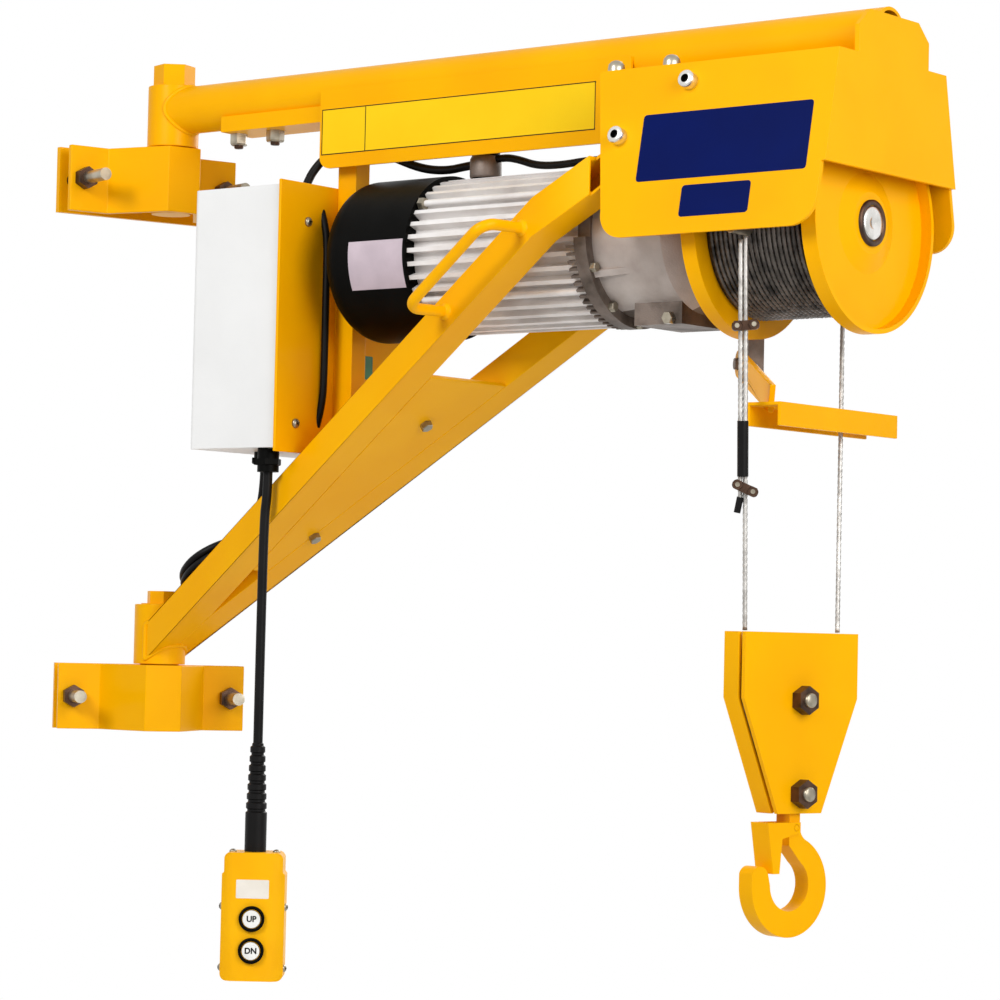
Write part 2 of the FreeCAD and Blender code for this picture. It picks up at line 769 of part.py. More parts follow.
# Gear housing: a flange with ribs, a tapered neck, a foot up to the hood, a sump and the lever's lug.
FLANGE_END = f"({GEAR_START} + gear_flange_thick)"
gear_case = turned("gear_case", [
    (GEAR_START, "0"), (GEAR_END, "0"), (GEAR_END, "gear_neck_dia / 2"),
    (GEAR_BODY_END, "gear_body_dia / 2"), (FLANGE_END, "gear_body_dia / 2"),
    (FLANGE_END, "gear_flange_dia / 2"), (GEAR_START, "gear_flange_dia / 2")], spot(z=DRUM_Z))
RIB_FOOT = "gear_body_dia / 2 - gear_rib_drop"
gear_rib = pad_in(gear_case, "XZ_Plane",
                  [(FLANGE_END, RIB_FOOT), (FLANGE_END + " + gear_rib_run", RIB_FOOT),
                   (FLANGE_END + " + gear_rib_run", "gear_body_dia / 2"),
                   (FLANGE_END, "gear_flange_dia / 2 - gear_rib_drop")],
                  "gear_rib_thick", "gear_rib", midplane=True)
ring_of(gear_case, gear_rib, "gear_ribs")
gear_foot = box("gear_foot", GEAR_START + " + gear_foot_inset", "-gear_foot_width / 2", DRUM_Z,
                "gear_foot_length", "gear_foot_width", "drum_drop - tube_dia / 2 - hood_thick")
sump = box("sump", GEAR_BODY_END + " - sump_length", "-sump_width / 2", DRUM_Z + " - sump_drop",
           "sump_length", "sump_width", "sump_drop")
LEVER = spot(GEAR_BODY_END + " + lever_pivot_lead", "lever_pivot_side", DRUM_Z + " - lever_pivot_drop",
             (0, 0, 1), "-lever_turn")
ON_LEVER = LEVER + " * "
gear_lug = box("gear_lug", "-lug_width / 2", "lever_arm_thick / 2 + lever_gap", "-lug_foot", "lug_width",
               "lug_thick", "lug_foot + lever_pivot_drop - gear_body_dia / 2 + lug_grip", ON_LEVER)
lever_pin = rod("lever_pin", "lever_pin_dia", "lever_arm_thick + lever_gap * 4 + lug_thick", "0",
                "-lever_arm_thick / 2 - lever_gap * 3", "0", (1, 0, 0), "-90", ON_LEVER)
gear_bore = rod("gear_bore", "shaft_dia + 2 * shaft_play", DRUM_START, GEAR_BODY_END + " - drum_gap", "0",
                DRUM_Z, (0, 1, 0), "90")
BEND_SLOPE = f"(({strut_outer(STRUT_BEND)} - {STRUT_END_OUTER}) / (strut_bite + strut_bend_lead))"
STRUT_AT_FLANGE = f"({strut_outer(STRUT_BEND)} - ({FLANGE_END} - {STRUT_BEND}) * {BEND_SLOPE} - strut_width)"
flats = [box(which + "_flat_cut", GEAR_START, y, DRUM_Z + " - flange_flat_drop", "gear_flange_thick",
             "gear_flange_dia", "gear_flange_dia")
         for which, y in (("far", f"{STRUT_AT_FLANGE} - flange_strut_gap"),
                          ("near", f"flange_strut_gap - {STRUT_AT_FLANGE} - gear_flange_dia"))]
gear_solid = fuse("gear_casting", [gear_case, gear_foot, sump, gear_lug, lever_pin])
keep(cut("gear", gear_solid, fuse("gear_cuts", [gear_bore] + flats), JIB), "gear_housing")

# Rope drum: two dished flanges on a core, the wound rope and the shaft end.
DISC_IN = f"({DRUM_START} + flange_lip)"
DISC_OUT = f"({DRUM_END} - flange_lip)"
FACE_IN = f"({DISC_IN} - flange_thick)"
FACE_OUT = f"({DISC_OUT} + flange_thick)"
RIM_R = "flange_dia / 2 - flange_thick"
WINCH = ON_JIB + spot(z=DRUM_Z)
drum_profile = [
    (GEAR_BODY_END, "0"), (DRUM_END + " - flange_thick", "0"),
    (DRUM_END + " - flange_thick", "shaft_dia / 2"),
    (FACE_OUT + " + boss_rise", "shaft_dia / 2"), (FACE_OUT + " + boss_rise", "boss_top_dia / 2"),
    (FACE_OUT, "boss_foot_dia / 2"), (FACE_OUT, RIM_R), (DRUM_END, RIM_R), (DRUM_END, "flange_dia / 2"),
    (DISC_OUT, "flange_dia / 2"), (DISC_OUT, "drum_core_dia / 2"), (DISC_IN, "drum_core_dia / 2"),
    (DISC_IN, "flange_dia / 2"), (DRUM_START, "flange_dia / 2"), (DRUM_START, RIM_R), (FACE_IN, RIM_R),
    (FACE_IN, "shaft_dia / 2"), (GEAR_BODY_END, "shaft_dia / 2")]
keep(turned("drum", drum_profile, WINCH), "rope_drum")
keep(turned("winding", [(DISC_IN, "drum_core_dia / 2"), (DISC_OUT, "drum_core_dia / 2"),
                        (DISC_OUT, "winding_dia / 2"), (DISC_IN, "winding_dia / 2")], WINCH), "rope_winding")

# Control box on its back plate, and the rail under the tube.
BOX_FOOT = f"({strut_height(POST_X)} + strut_depth / 2 + box_strut_gap)"
BOX_FRONT = f"({BOX_PLATE_X} - box_depth)"
box_half = [(BOX_PLATE_X, "box_width / 2"),
            (BOX_FRONT + " + box_corner", "box_width / 2", "box_corner", 1),
            (BOX_FRONT, "box_width / 2 - box_corner")]
keep(padded("box_case", "XY_Plane", both_sides(box_half, 1), "box_height", ON_JIB + spot(z=BOX_FOOT)),
     "control_box")
keep(box("box_back", BOX_PLATE_X, "-box_width / 2 - box_plate_margin", BOX_FOOT + " - box_plate_margin",
         "box_plate_thick", "box_width + 2 * box_plate_margin", "box_height + 2 * box_plate_margin", ON_JIB),
     "box_back_plate")
rail_length = POST_X + " - rail_start"
rail_bar = box("rail_bar", "rail_start", "-rail_width / 2", HOOD_TOP + " - rail_thick", rail_length,
               "rail_width", "rail_thick + tube_dia / 2")
rail_top = box("rail_top", "rail_start", "-rail_width / 2", TUBE_Z + " - tube_dia * 0.3", rail_length,
               "rail_width", "tube_dia")
rail_cuts = fuse("rail_cuts", [tube_rod("rail_cope", "tube_dia"), rail_top])
keep(cut("rail", rail_bar, rail_cuts, JIB), "tube_rail")

# Cable glands: on the motor, and two under the control box.
CORD_X = f"({BOX_PLATE_X} - pendant_inset)"
LEAD_X = f"({BOX_PLATE_X} - lead_gland_inset)"
motor_gland_stem = rod("motor_gland_stem", "motor_gland_dia", "motor_gland_height + motor_dia / 2",
                       MOTOR_START + " + motor_gland_inset", "0", MOTOR_Z)
motor_gland_cope = rod("motor_gland_cope", "motor_dia", "motor_length", MOTOR_START, "0", MOTOR_Z, (0, 1, 0),
                       "90")
keep(group("glands", [
    cut("motor_gland", motor_gland_stem, motor_gland_cope),
    rod("cord_gland", "gland_dia", "gland_height", CORD_X, "-pendant_side", BOX_FOOT + " - gland_height"),
    rod("lead_gland", "gland_dia", "lead_gland_height", LEAD_X, "-lead_gland_side",
        BOX_FOOT + " - lead_gland_height")], JIB), "cable_glands")


# Pendant station: cord, ringed boot, body and two buttons.
def route_tube(name, points, dia, share=0.45):
    """A cord along hand-chosen points, each corner rounded as far as its shorter run allows."""
    radii = []
    for i in range(1, len(points) - 1):
        before = points[i - 1] - points[i]
        after = points[i + 1] - points[i]
        half_turn = (math.pi - before.getAngle(after)) / 2
        radii.append(share * min(before.Length, after.Length) / math.tan(half_turn))
    path = bent_path(points, radii)
    solid = tube_along(path, dia)
    expected = math.pi * dia ** 2 / 4 * path.Length
    print("%s: length %.0f, radii %s, volume ratio %.4f"
          % (name, path.Length, " ".join("%.0f" % r for r in radii), solid.Volume / expected))
    item = doc.addObject("Part::Feature", name + "_tube")
    item.Shape = solid
    item.setExpression("Placement", JIB)
    return keep(item, name)


cord_start = Vector(number(CORD_X), -number("pendant_side"), number(BOX_FOOT + " - gland_height"))
hang = cord_start + Vector(-number("cord_shift"), 0, -46)
route_tube("pendant_cord", [cord_start, cord_start + Vector(0, 0, -22), hang,
                            Vector(hang.x, hang.y, -number("boot_top"))], number("cord_dia"))
PENDANT = ON_JIB + spot(CORD_X + " - cord_shift", "-pendant_side", "-boot_top", (0, 0, 1), "pendant_turn")
boot_profile = [("0", "-boot_length"), ("boot_end_dia / 2", "-boot_length")]
for ring in range(SIZES["boot_rings"], 0, -1):
    low = f"-boot_ring_pitch * {ring}"
    size = f"(boot_top_dia + (boot_end_dia - boot_top_dia) * {ring} / boot_rings) / 2"
    boot_profile.append((size, low))
    boot_profile.append((size, low + " + boot_ring_pitch * 0.55"))
    boot_profile.append((size + " - boot_groove", low + " + boot_ring_pitch * 0.7"))
    boot_profile.append((size + " - boot_groove", low + " + boot_ring_pitch * 0.9"))
boot_profile += [("cord_dia / 2", "0"), ("0", "0")]
keep(turned("boot", boot_profile, PENDANT, "V_Axis"), "pendant_boot")

CASE_TOP = "(-boot_length)"
CASE_FOOT = "(-boot_length - pendant_height)"
TOP_HALF = "(pendant_width / 2 - pendant_step)"
SHOULDER = f"({CASE_TOP} - pendant_shoulder)"
front_half = [(TOP_HALF + " - pendant_corner", CASE_TOP, "pendant_corner", -1),
              (TOP_HALF, CASE_TOP + " - pendant_corner"), (TOP_HALF, SHOULDER),
              ("pendant_width / 2", SHOULDER + " - pendant_step"),
              ("pendant_width / 2", CASE_FOOT + " + pendant_corner", "pendant_corner", -1),
              ("pendant_width / 2 - pendant_corner", CASE_FOOT)]
case_front = padded("case_front", "YZ_Plane", both_sides(front_half), "pendant_depth",
                    spot(x="-pendant_depth / 2"))
plan_half = [("pendant_depth / 2", "pendant_strip / 2"),
             ("pendant_depth / 2 - pendant_bevel", "pendant_width / 2"),
             ("pendant_corner - pendant_depth / 2", "pendant_width / 2", "pendant_corner", 1),
             ("-pendant_depth / 2", "pendant_width / 2 - pendant_corner")]
case_plan = padded("case_plan", "XY_Plane", both_sides(plan_half, 1), "pendant_height", spot(z=CASE_FOOT))
bezels = [common("case_form", case_front, case_plan)]
bores = []
for which in ("up", "down"):
    height = f"{CASE_FOOT} + {which}_button_height"
    bezels.append(rod(which + "_bezel", "button_bezel_dia", "button_seat + button_bezel_rise",
                      "pendant_depth / 2 - button_seat", "0", height, (0, 1, 0), "90"))
    bores.append(rod(which + "_bore", "button_dia + 2 * button_play", "pendant_depth",
                     "pendant_depth / 2 - button_seat - button_travel", "0", height, (0, 1, 0), "90"))
    keep(rod(which + "_cap", "button_dia", "button_seat + button_bezel_rise + button_rise",
             "pendant_depth / 2 - button_seat", "0", height, (0, 1, 0), "90", PENDANT + " * "),
         which + "_button")
keep(cut("pendant", fuse("case", bezels), fuse("case_bores", bores), PENDANT), "pendant_body")

# Power lead: a cable from the control box to a coil that lies on the struts.
coil = primitive("Part::Torus", "coil", ON_JIB + spot(
    "coil_spot", "coil_side", strut_height("coil_spot") + " + strut_depth / 2", (0, 1, 0), "-" + STRUT_PITCH)
    + " * " + spot(z="coil_thick / 2 + coil_gap"), Radius1="coil_radius", Radius2="coil_thick / 2")
keep(coil, "power_coil")
lead_start = Vector(number(LEAD_X), -number("lead_gland_side"), number(BOX_FOOT + " - lead_gland_height"))
route_tube("power_lead", [lead_start + Vector(*step) for step in (
    (0, 0, 0), (0, 0, -30), (-14, 3, -54), (-40, 8, -72), (-66, 11, -84), (-88, 13, -96))],
           number("lead_dia"))

# Ropes: the dead fall hangs from a pin on the near panel, the live fall comes off the drum's far side.
ANCHOR_Z = f"({DRUM_Z} - anchor_drop)"
LIVE_Y = "(winding_dia / 2 + rope_gap + rope_dia / 2)"
DEAD_X = f"({DRUM_START} + dead_offset)"
BLOCK_X = f"({DRUM_START} + block_offset)"
SHEAVE_PITCH = "(sheave_dia / 2 - groove_depth + rope_dia / 2)"
anchor_bar = rod("anchor_bar", "anchor_dia", "anchor_length", DEAD_X, "-dead_side + rope_dia / 2",
                 ANCHOR_Z + " + anchor_dia / 2", (1, 0, 0), "90")
keep(cut("anchor", anchor_bar, panel_outside("anchor_wedge", "-", "hood_start"), JIB), "rope_anchor")


def strand(name, label, low, high):
    """A straight rope between two points of the arm frame."""
    run = [f"(({b}) - ({a}))" for a, b in zip(low, high)]
    length = "sqrt(pow(%s; 2) + pow(%s; 2) + pow(%s; 2))" % tuple(run)
    turn = f"create(<<rotation>>; create(<<vector>>; -{run[1]}; {run[0]}; 0); acos({run[2]} / {length}))"
    at = sized("create(<<placement>>; create(<<vector>>; %s; %s; %s); %s)" % (*low, turn))
    return keep(primitive("Part::Cylinder", name, ON_JIB + at, Radius="rope_dia / 2", Height=length), label)


FALL_X = f"{SHEAVE_PITCH} * sin(block_turn)"
FALL_Y = f"{SHEAVE_PITCH} * cos(block_turn)"
strand("dead_rope", "dead_fall",
       (f"{BLOCK_X} - {FALL_X}", f"block_side_shift - {FALL_Y}", "block_top + fall_gap"),
       (DEAD_X, "-dead_side", ANCHOR_Z))
strand("live_rope", "live_fall",
       (f"{BLOCK_X} + {FALL_X}", f"block_side_shift + {FALL_Y}", "block_top + fall_gap"),
       (f"{DRUM_START} + live_offset", LIVE_Y, DRUM_Z))

# Hook block: a flat front plate and a rear pan with a sheave between them.
BLOCK = ON_JIB + spot(BLOCK_X, "block_side_shift", "0", (0, 0, 1), "-block_turn")
BLOCK_FOOT = "(block_top - block_height)"
block_outline = both_sides([("block_half_top", "block_top"), ("block_half_top", "block_top - block_side"),
                            ("block_half_end", BLOCK_FOOT)])
FRONT_X = "(block_inside / 2)"
PAN_BACK = "(-block_inside / 2 - pan_wall)"
PAN_DEPTH = "(block_inside + pan_wall - block_slit)"
front = padded("front", "YZ_Plane", block_outline, "block_plate", spot(x=FRONT_X))
pan_outside = padded("pan_outside", "YZ_Plane", block_outline, PAN_DEPTH, spot(x=PAN_BACK))
SIDE_SLOPE = "((block_half_top - block_half_end) / (block_height - block_side))"
SIDE_SHIFT = f"(pan_wall * sqrt(1 + pow({SIDE_SLOPE}; 2)))"
pan_inside = padded("pan_inside", "YZ_Plane", both_sides([
    ("block_half_top - pan_wall", "block_top + pan_wall"),
    ("block_half_top - pan_wall", f"block_top - block_side - ({SIDE_SHIFT} - pan_wall) / {SIDE_SLOPE}"),
    (f"block_half_end - {SIDE_SHIFT} - pan_wall * {SIDE_SLOPE}", f"{BLOCK_FOOT} - pan_wall")]),
    PAN_DEPTH, spot(x=PAN_BACK + " + pan_wall"))
PLATE_END = f"({FRONT_X} + block_plate)"
axles = []
for name, height in (("upper", "sheave_height"), ("lower", "hook_pin_height")):
    shank = rod(name + "_axle", "block_bolt_dia", f"{PLATE_END} - {PAN_BACK}", PAN_BACK, "0", height,
                (0, 1, 0), "90")
    nut = hexagon(name + "_axle_nut", "block_nut_across", "block_nut_height", PLATE_END, "0", height)
    head = hexagon(name + "_axle_head", "block_nut_across", "block_nut_height / 2",
                   PAN_BACK + " - block_nut_height / 2", "0", height)
    axles.append(fuse(name + "_axle_bolt", [shank, nut, head]))


def axle_holes(tag):
    return fuse(tag + "_holes", [
        rod(f"{tag}_{name}_hole", "block_bolt_dia", "3 * block_inside", "-1.5 * block_inside", "0", height,
            (0, 1, 0), "90")
        for name, height in (("upper", "sheave_height"), ("lower", "hook_pin_height"))])


keep(cut("block_front", front, axle_holes("front"), BLOCK), "block_front_plate")
keep(cut("block_pan", cut("pan_hollow", pan_outside, pan_inside), axle_holes("pan"), BLOCK), "block_rear_pan")
keep(group("axle_pair", axles, BLOCK), "block_axles")
GROOVE_R = "(sheave_dia / 2 - groove_depth)"
keep(turned("sheave", [
    ("-sheave_thick / 2", "block_bolt_dia / 2"), ("sheave_thick / 2", "block_bolt_dia / 2"),
    ("sheave_thick / 2", "sheave_dia / 2"), ("rope_dia / 2", GROOVE_R), ("-rope_dia / 2", GROOVE_R),
    ("-sheave_thick / 2", "sheave_dia / 2")], BLOCK + " * " + spot(z="sheave_height")), "block_sheave")
pitch = number(SHEAVE_PITCH)
axle_z = number("sheave_height")
block_z = number("block_top")
wrap_path = Part.Wire([
    Part.LineSegment(Vector(0, -pitch, block_z), Vector(0, -pitch, axle_z)).toShape(),
    Part.Arc(Vector(0, -pitch, axle_z), Vector(0, 0, axle_z - pitch), Vector(0, pitch, axle_z)).toShape(),
    Part.LineSegment(Vector(0, pitch, axle_z), Vector(0, pitch, block_z)).toShape()])
wrap = doc.addObject("Part::Feature", "wrap")
wrap.Shape = tube_along(wrap_path, number("rope_dia"))
wrap.setExpression("Placement", BLOCK)
keep(wrap, "rope_round_sheave")

# Hook on the lower bolt: a swan neck and a bowl of plain arcs, with a sprung latch across its mouth.
BOWL_Z = "(hook_pin_height - hook_bowl_drop)"
CAVE_Z = f"({BOWL_Z} + hook_inner_lift)"
NECK_Z = "(hook_pin_height - hook_neck_drop)"
TIP_Z = f"({BOWL_Z} + hook_tip_rise)"
TIP_INNER = "(hook_bowl_side - hook_outer + hook_tip_width)"


def on_outer(angle):
    return (f"hook_bowl_side + hook_outer * cos({angle})", f"{BOWL_Z} + hook_outer * sin({angle})")


def on_inner(angle):
    return (f"hook_bowl_side + hook_inner * cos({angle})", f"{CAVE_Z} + hook_inner * sin({angle})")


OUTER = ("hook_outer", -1)
INNER = ("hook_inner", 1)
hook_form = padded("hook_form", "YZ_Plane", [
    ("hook_neck / 2", "hook_pin_height"),
    ("hook_neck / 2", NECK_Z, "hook_neck_fillet", 1),
    on_outer("hook_top_angle") + OUTER, on_outer("0") + OUTER, on_outer("-90") + OUTER, on_outer("180"),
    ("hook_bowl_side - hook_outer", TIP_Z, "hook_tip_round", -1),
    (TIP_INNER, TIP_Z),
    on_inner("180") + INNER, on_inner("-90") + INNER, on_inner("0") + INNER, on_inner("hook_inner_angle"),
    ("-hook_neck / 2", "hook_pin_height - hook_throat_drop"),
    ("-hook_neck / 2", "hook_pin_height")], "hook_thick", spot(x="-hook_thick / 2"))
hook_eye = rod("hook_eye", "hook_eye_dia", "hook_thick", "-hook_thick / 2", "0", "hook_pin_height",
               (0, 1, 0), "90")
LATCH_Z = "(hook_pin_height - latch_pin_drop)"
LATCH_HALF = "(hook_thick / 2 + latch_gap + latch_thick)"
latch_pin = rod("latch_pin", "latch_pin_dia", f"2 * {LATCH_HALF}", f"-{LATCH_HALF}", "0", LATCH_Z,
                (0, 1, 0), "90")
eye_bore = rod("hook_bore", "block_bolt_dia + 2 * hook_play", "hook_thick", "-hook_thick / 2", "0",
               "hook_pin_height", (0, 1, 0), "90")
keep(cut("hook_body", fuse("hook_solid", [hook_form, hook_eye, latch_pin]), eye_bore, BLOCK), "hook")

LATCH_TOP = f"({LATCH_Z} + latch_rise)"
LATCH_FOOT = f"({LATCH_Z} - latch_drop)"
LATCH_FOOT_Y = "(latch_slant - latch_reach)"
cheek = [("latch_rise", LATCH_TOP), ("latch_rise", f"{LATCH_Z} - latch_rise"),
         (f"{LATCH_FOOT_Y} + latch_tip * 1.4", f"{LATCH_Z} - 2 * latch_rise"),
         (f"{LATCH_FOOT_Y} + latch_tip", LATCH_FOOT), (LATCH_FOOT_Y, LATCH_FOOT),
         ("-latch_reach", LATCH_TOP)]
strap = [("-latch_reach", LATCH_TOP), ("latch_thick - latch_reach", LATCH_TOP),
         (f"{LATCH_FOOT_Y} + latch_thick", LATCH_FOOT), (LATCH_FOOT_Y, LATCH_FOOT)]
latch_bore = rod("latch_bore", "latch_pin_dia + 2 * hook_play", f"2 * {LATCH_HALF}", f"-{LATCH_HALF}", "0",
                 LATCH_Z, (0, 1, 0), "90")
latch_form = fuse("latch_form", [
    padded("latch_left", "YZ_Plane", cheek, "latch_thick", spot(x=f"-{LATCH_HALF}")),
    padded("latch_right", "YZ_Plane", cheek, "latch_thick", spot(x=f"{LATCH_HALF} - latch_thick")),
    padded("latch_strap", "YZ_Plane", strap, f"2 * {LATCH_HALF}", spot(x=f"-{LATCH_HALF}"))])
keep(cut("latch", latch_form, latch_bore, BLOCK), "hook_latch")

# Limit lever: a slotted channel below the drum on a flat arm from the gear housing's lug.
BAR_X = f"({DRUM_START} + lever_bar_offset - lever_bar_width / 2)"
BAR_Z = f"({DRUM_Z} - lever_bar_drop)"
BAR_INNER = "lever_bar_width - 2 * lever_wall"
bar_outside = box("bar_outside", BAR_X, "lever_bar_start", BAR_Z, "lever_bar_width",
                  "lever_bar_end - lever_bar_start", "lever_bar_depth")
bar_inside = box("bar_inside", BAR_X + " + lever_wall", "lever_bar_start", BAR_Z, BAR_INNER,
                 "lever_bar_end - lever_bar_start", "lever_bar_depth - lever_wall")
bar_slot = box("bar_slot", BAR_X + " + lever_wall", "lever_slot_start", BAR_Z, BAR_INNER,
               "lever_slot_end - lever_slot_start", "2 * lever_bar_depth")
ARM = ON_LEVER + spot(axis=(0, 1, 0), angle="lever_pitch") + " * "
arm = box("lever_arm", "0", "-lever_arm_thick / 2", "-lever_arm_width / 2", "lever_arm_length",
          "lever_arm_thick", "lever_arm_width", ARM)
arm_eye = rod("lever_eye", "lever_arm_width", "lever_arm_thick", "0", "-lever_arm_thick / 2", "0",
              (1, 0, 0), "-90", ON_LEVER)
arm_bore = rod("lever_bore", "lever_pin_dia + 2 * pin_play", "3 * lever_arm_thick", "0",
               "-1.5 * lever_arm_thick", "0", (1, 0, 0), "-90", ON_LEVER)
channel = cut("lever_channel", bar_outside, fuse("bar_cuts", [bar_inside, bar_slot]))
keep(cut("lever", fuse("lever_solid", [channel, arm, arm_eye]), arm_bore, JIB), "limit_lever")

doc.recompute()
for item in doc.Objects:
    if "Invalid" in item.State or "Error" in item.State:
        raise RuntimeError("%s failed: %s" % (item.Label, item.State))
for item in subparts:
    if item.Shape.isNull() or not item.Shape.isValid():
        raise RuntimeError("%s has no valid shape" % item.Label)
os.makedirs("parts", exist_ok=True)
for item in subparts:
    item.Shape.exportStep("parts/%s.step" % item.Label)
print("%d nodes" % len(subparts))
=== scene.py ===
# %% [markdown]
# # A column hoist, dressed in Blender
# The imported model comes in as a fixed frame: every piece already has its true size and place. This
# lesson adds what a solid model doesn't hold: paint, rubber and bare metal, the ropes' strands, the
# small fasteners and the labels, and it keeps each new piece riding on the body that carries it.

# %% The frame
import bpy
import bmesh
import json
import math
from mathutils import Matrix, Vector


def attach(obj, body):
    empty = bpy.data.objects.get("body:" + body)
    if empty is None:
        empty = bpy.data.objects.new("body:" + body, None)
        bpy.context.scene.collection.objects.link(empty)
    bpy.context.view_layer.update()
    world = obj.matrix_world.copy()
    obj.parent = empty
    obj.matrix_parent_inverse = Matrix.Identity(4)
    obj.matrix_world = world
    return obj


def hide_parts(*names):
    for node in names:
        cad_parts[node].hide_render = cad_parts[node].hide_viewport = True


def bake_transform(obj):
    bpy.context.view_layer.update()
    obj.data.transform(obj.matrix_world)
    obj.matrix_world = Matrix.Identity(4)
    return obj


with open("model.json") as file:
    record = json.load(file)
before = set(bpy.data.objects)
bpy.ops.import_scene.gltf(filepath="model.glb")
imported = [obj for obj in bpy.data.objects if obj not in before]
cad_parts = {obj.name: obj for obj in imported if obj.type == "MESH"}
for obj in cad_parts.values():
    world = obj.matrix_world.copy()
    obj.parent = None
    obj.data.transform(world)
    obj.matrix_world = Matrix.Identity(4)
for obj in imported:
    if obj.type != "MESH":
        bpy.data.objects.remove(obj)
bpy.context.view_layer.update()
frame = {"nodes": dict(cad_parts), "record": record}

nodes = frame["nodes"]

# %% [markdown]
# ## The arm's own axes
# The jib stands turned on its hinge pins, so its pieces are easier to think of in the arm's own axes:
# X along the arm from the hinge, Y away from the viewer, Z up. One matrix turns those millimetres into
# the frame's metres. The hook block, the push-button station, the upper clamp and the hood's near panel
# get axes of their own in the same way, because small pieces sit square to them.

# %% Arm axes
MM = 0.001
REST_SWING, CLAMP_TURN, HINGE_X = 35, 18, 59


def shift(x, y=0.0, z=0.0):
    """A move given in millimetres."""
    return Matrix.Translation((x * MM, y * MM, z * MM))


def spun(degrees, axis="Z"):
    """A turn about one axis."""
    return Matrix.Rotation(math.radians(degrees), 4, axis)


ARM = shift(HINGE_X) @ spun(REST_SWING)


def axes(x, y, z, turn=0.0, base=ARM):
    """Axes at a place in the base's millimetres, turned about the upright by degrees."""
    return base @ shift(x, y, z) @ spun(turn)


def on_arm(x, y, z):
    """A point of the arm, given in millimetres, in the frame's metres."""
    return ARM @ (Vector((x, y, z)) * MM)


def facing(x, y, z, direction, base=ARM, spin=0.0):
    """Axes whose Z points along a direction of the base, for bolts and other turned pieces."""
    turn = Vector(direction).to_track_quat("Z", "Y").to_matrix().to_4x4()
    return axes(x, y, z, 0, base) @ turn @ spun(spin)


DRUM_X, DRUM_Z = 677, 417
MOTOR_Z = 411
BOX_FOOT = 236
TUBE_END, TUBE_Z = 826, 574
HOOD_TOP, HOOD_HALF, HOOD_FLARE = 551, 84, math.radians(10.9)
BLOCK_X, BLOCK_Y, BLOCK_TURN = DRUM_X + 61, -5, 13
BLOCK = axes(BLOCK_X, BLOCK_Y, 0, -BLOCK_TURN)
PENDANT = axes(196, -70, -136, -52)
UPPER_CLAMP = shift(HINGE_X) @ spun(CLAMP_TURN) @ shift(-HINGE_X)
flare_sin, flare_cos = math.sin(HOOD_FLARE), math.cos(HOOD_FLARE)
PANEL = axes(0, -HOOD_HALF, HOOD_TOP) @ Matrix(
    ((1, 0, 0, 0), (0, flare_sin, -flare_cos, 0), (0, flare_cos, flare_sin, 0), (0, 0, 0, 1)))


def down_panel(height):
    """A height of the arm as a distance along the sloping panel from its top edge."""
    return (height - HOOD_TOP) / flare_cos


print("arm's end", tuple(round(c, 3) for c in on_arm(TUBE_END, 0, TUBE_Z)))

# %% [markdown]
# ## Camera
# The camera comes first, because every later choice is judged through it. Its place and angles were
# worked out from edges whose sizes are known. A long lens from three metres keeps lines nearly parallel.

# %% Camera
YAW, PITCH, ROLL = 0.668344, 0.041933, 0.022059
CAMERA_PLACE = (2.3149, -2.4014, 0.0611)
LENS, SENSOR = 122.4, 36
flat_right = Vector((math.cos(YAW), math.sin(YAW), 0))
flat_ahead = Vector((-math.sin(YAW), math.cos(YAW), 0))
ahead = flat_ahead * math.cos(PITCH) + Vector((0, 0, math.sin(PITCH)))
upward = Vector((0, 0, math.cos(PITCH))) - flat_ahead * math.sin(PITCH)
right = flat_right * math.cos(ROLL) + upward * math.sin(ROLL)
up = upward * math.cos(ROLL) - flat_right * math.sin(ROLL)
look = Matrix((right, up, -ahead)).transposed().to_4x4()
camera = bpy.data.objects.new("camera", bpy.data.cameras.new("camera"))
camera.matrix_world = ARM @ Matrix.Translation(CAMERA_PLACE) @ look
camera.data.lens = LENS
camera.data.sensor_width = SENSOR
bpy.context.collection.objects.link(camera)
bpy.context.scene.camera = camera
print("camera at", tuple(round(c, 2) for c in camera.matrix_world.translation))

# %% [markdown]
# ## Light and floor
# A white room: a large key lamp above the camera, a broad fill, a back lamp and a pale world, so the
# paint keeps its own colour and the edges catch a soft highlight. The eye sees the room as plain white,
# while the light that it throws on the hoist stays softer. The floor lies below the hook's lowest place.

# %% Light and floor
ROOM_LIGHT, ROOM_SEEN = 0.27, 1.0
scene = bpy.context.scene
scene.view_settings.view_transform = "Standard"
world = bpy.data.worlds.new("room")
scene.world = world
world.use_nodes = True
room = world.node_tree
backdrop = room.nodes["Background"]
backdrop.inputs["Color"].default_value = (1, 1, 1, 1)
ray = room.nodes.new("ShaderNodeLightPath")
seen = ray.outputs["Is Camera Ray"]
for kind in ("Is Glossy Ray", "Is Transmission Ray"):
    either = room.nodes.new("ShaderNodeMath")
    either.operation = "MAXIMUM"
    room.links.new(seen, either.inputs[0])
    room.links.new(ray.outputs[kind], either.inputs[1])
    seen = either.outputs[0]
strength = room.nodes.new("ShaderNodeMapRange")
strength.inputs["To Min"].default_value = ROOM_LIGHT
strength.inputs["To Max"].default_value = ROOM_SEEN
room.links.new(seen, strength.inputs["Value"])
room.links.new(strength.outputs["Result"], backdrop.inputs["Strength"])

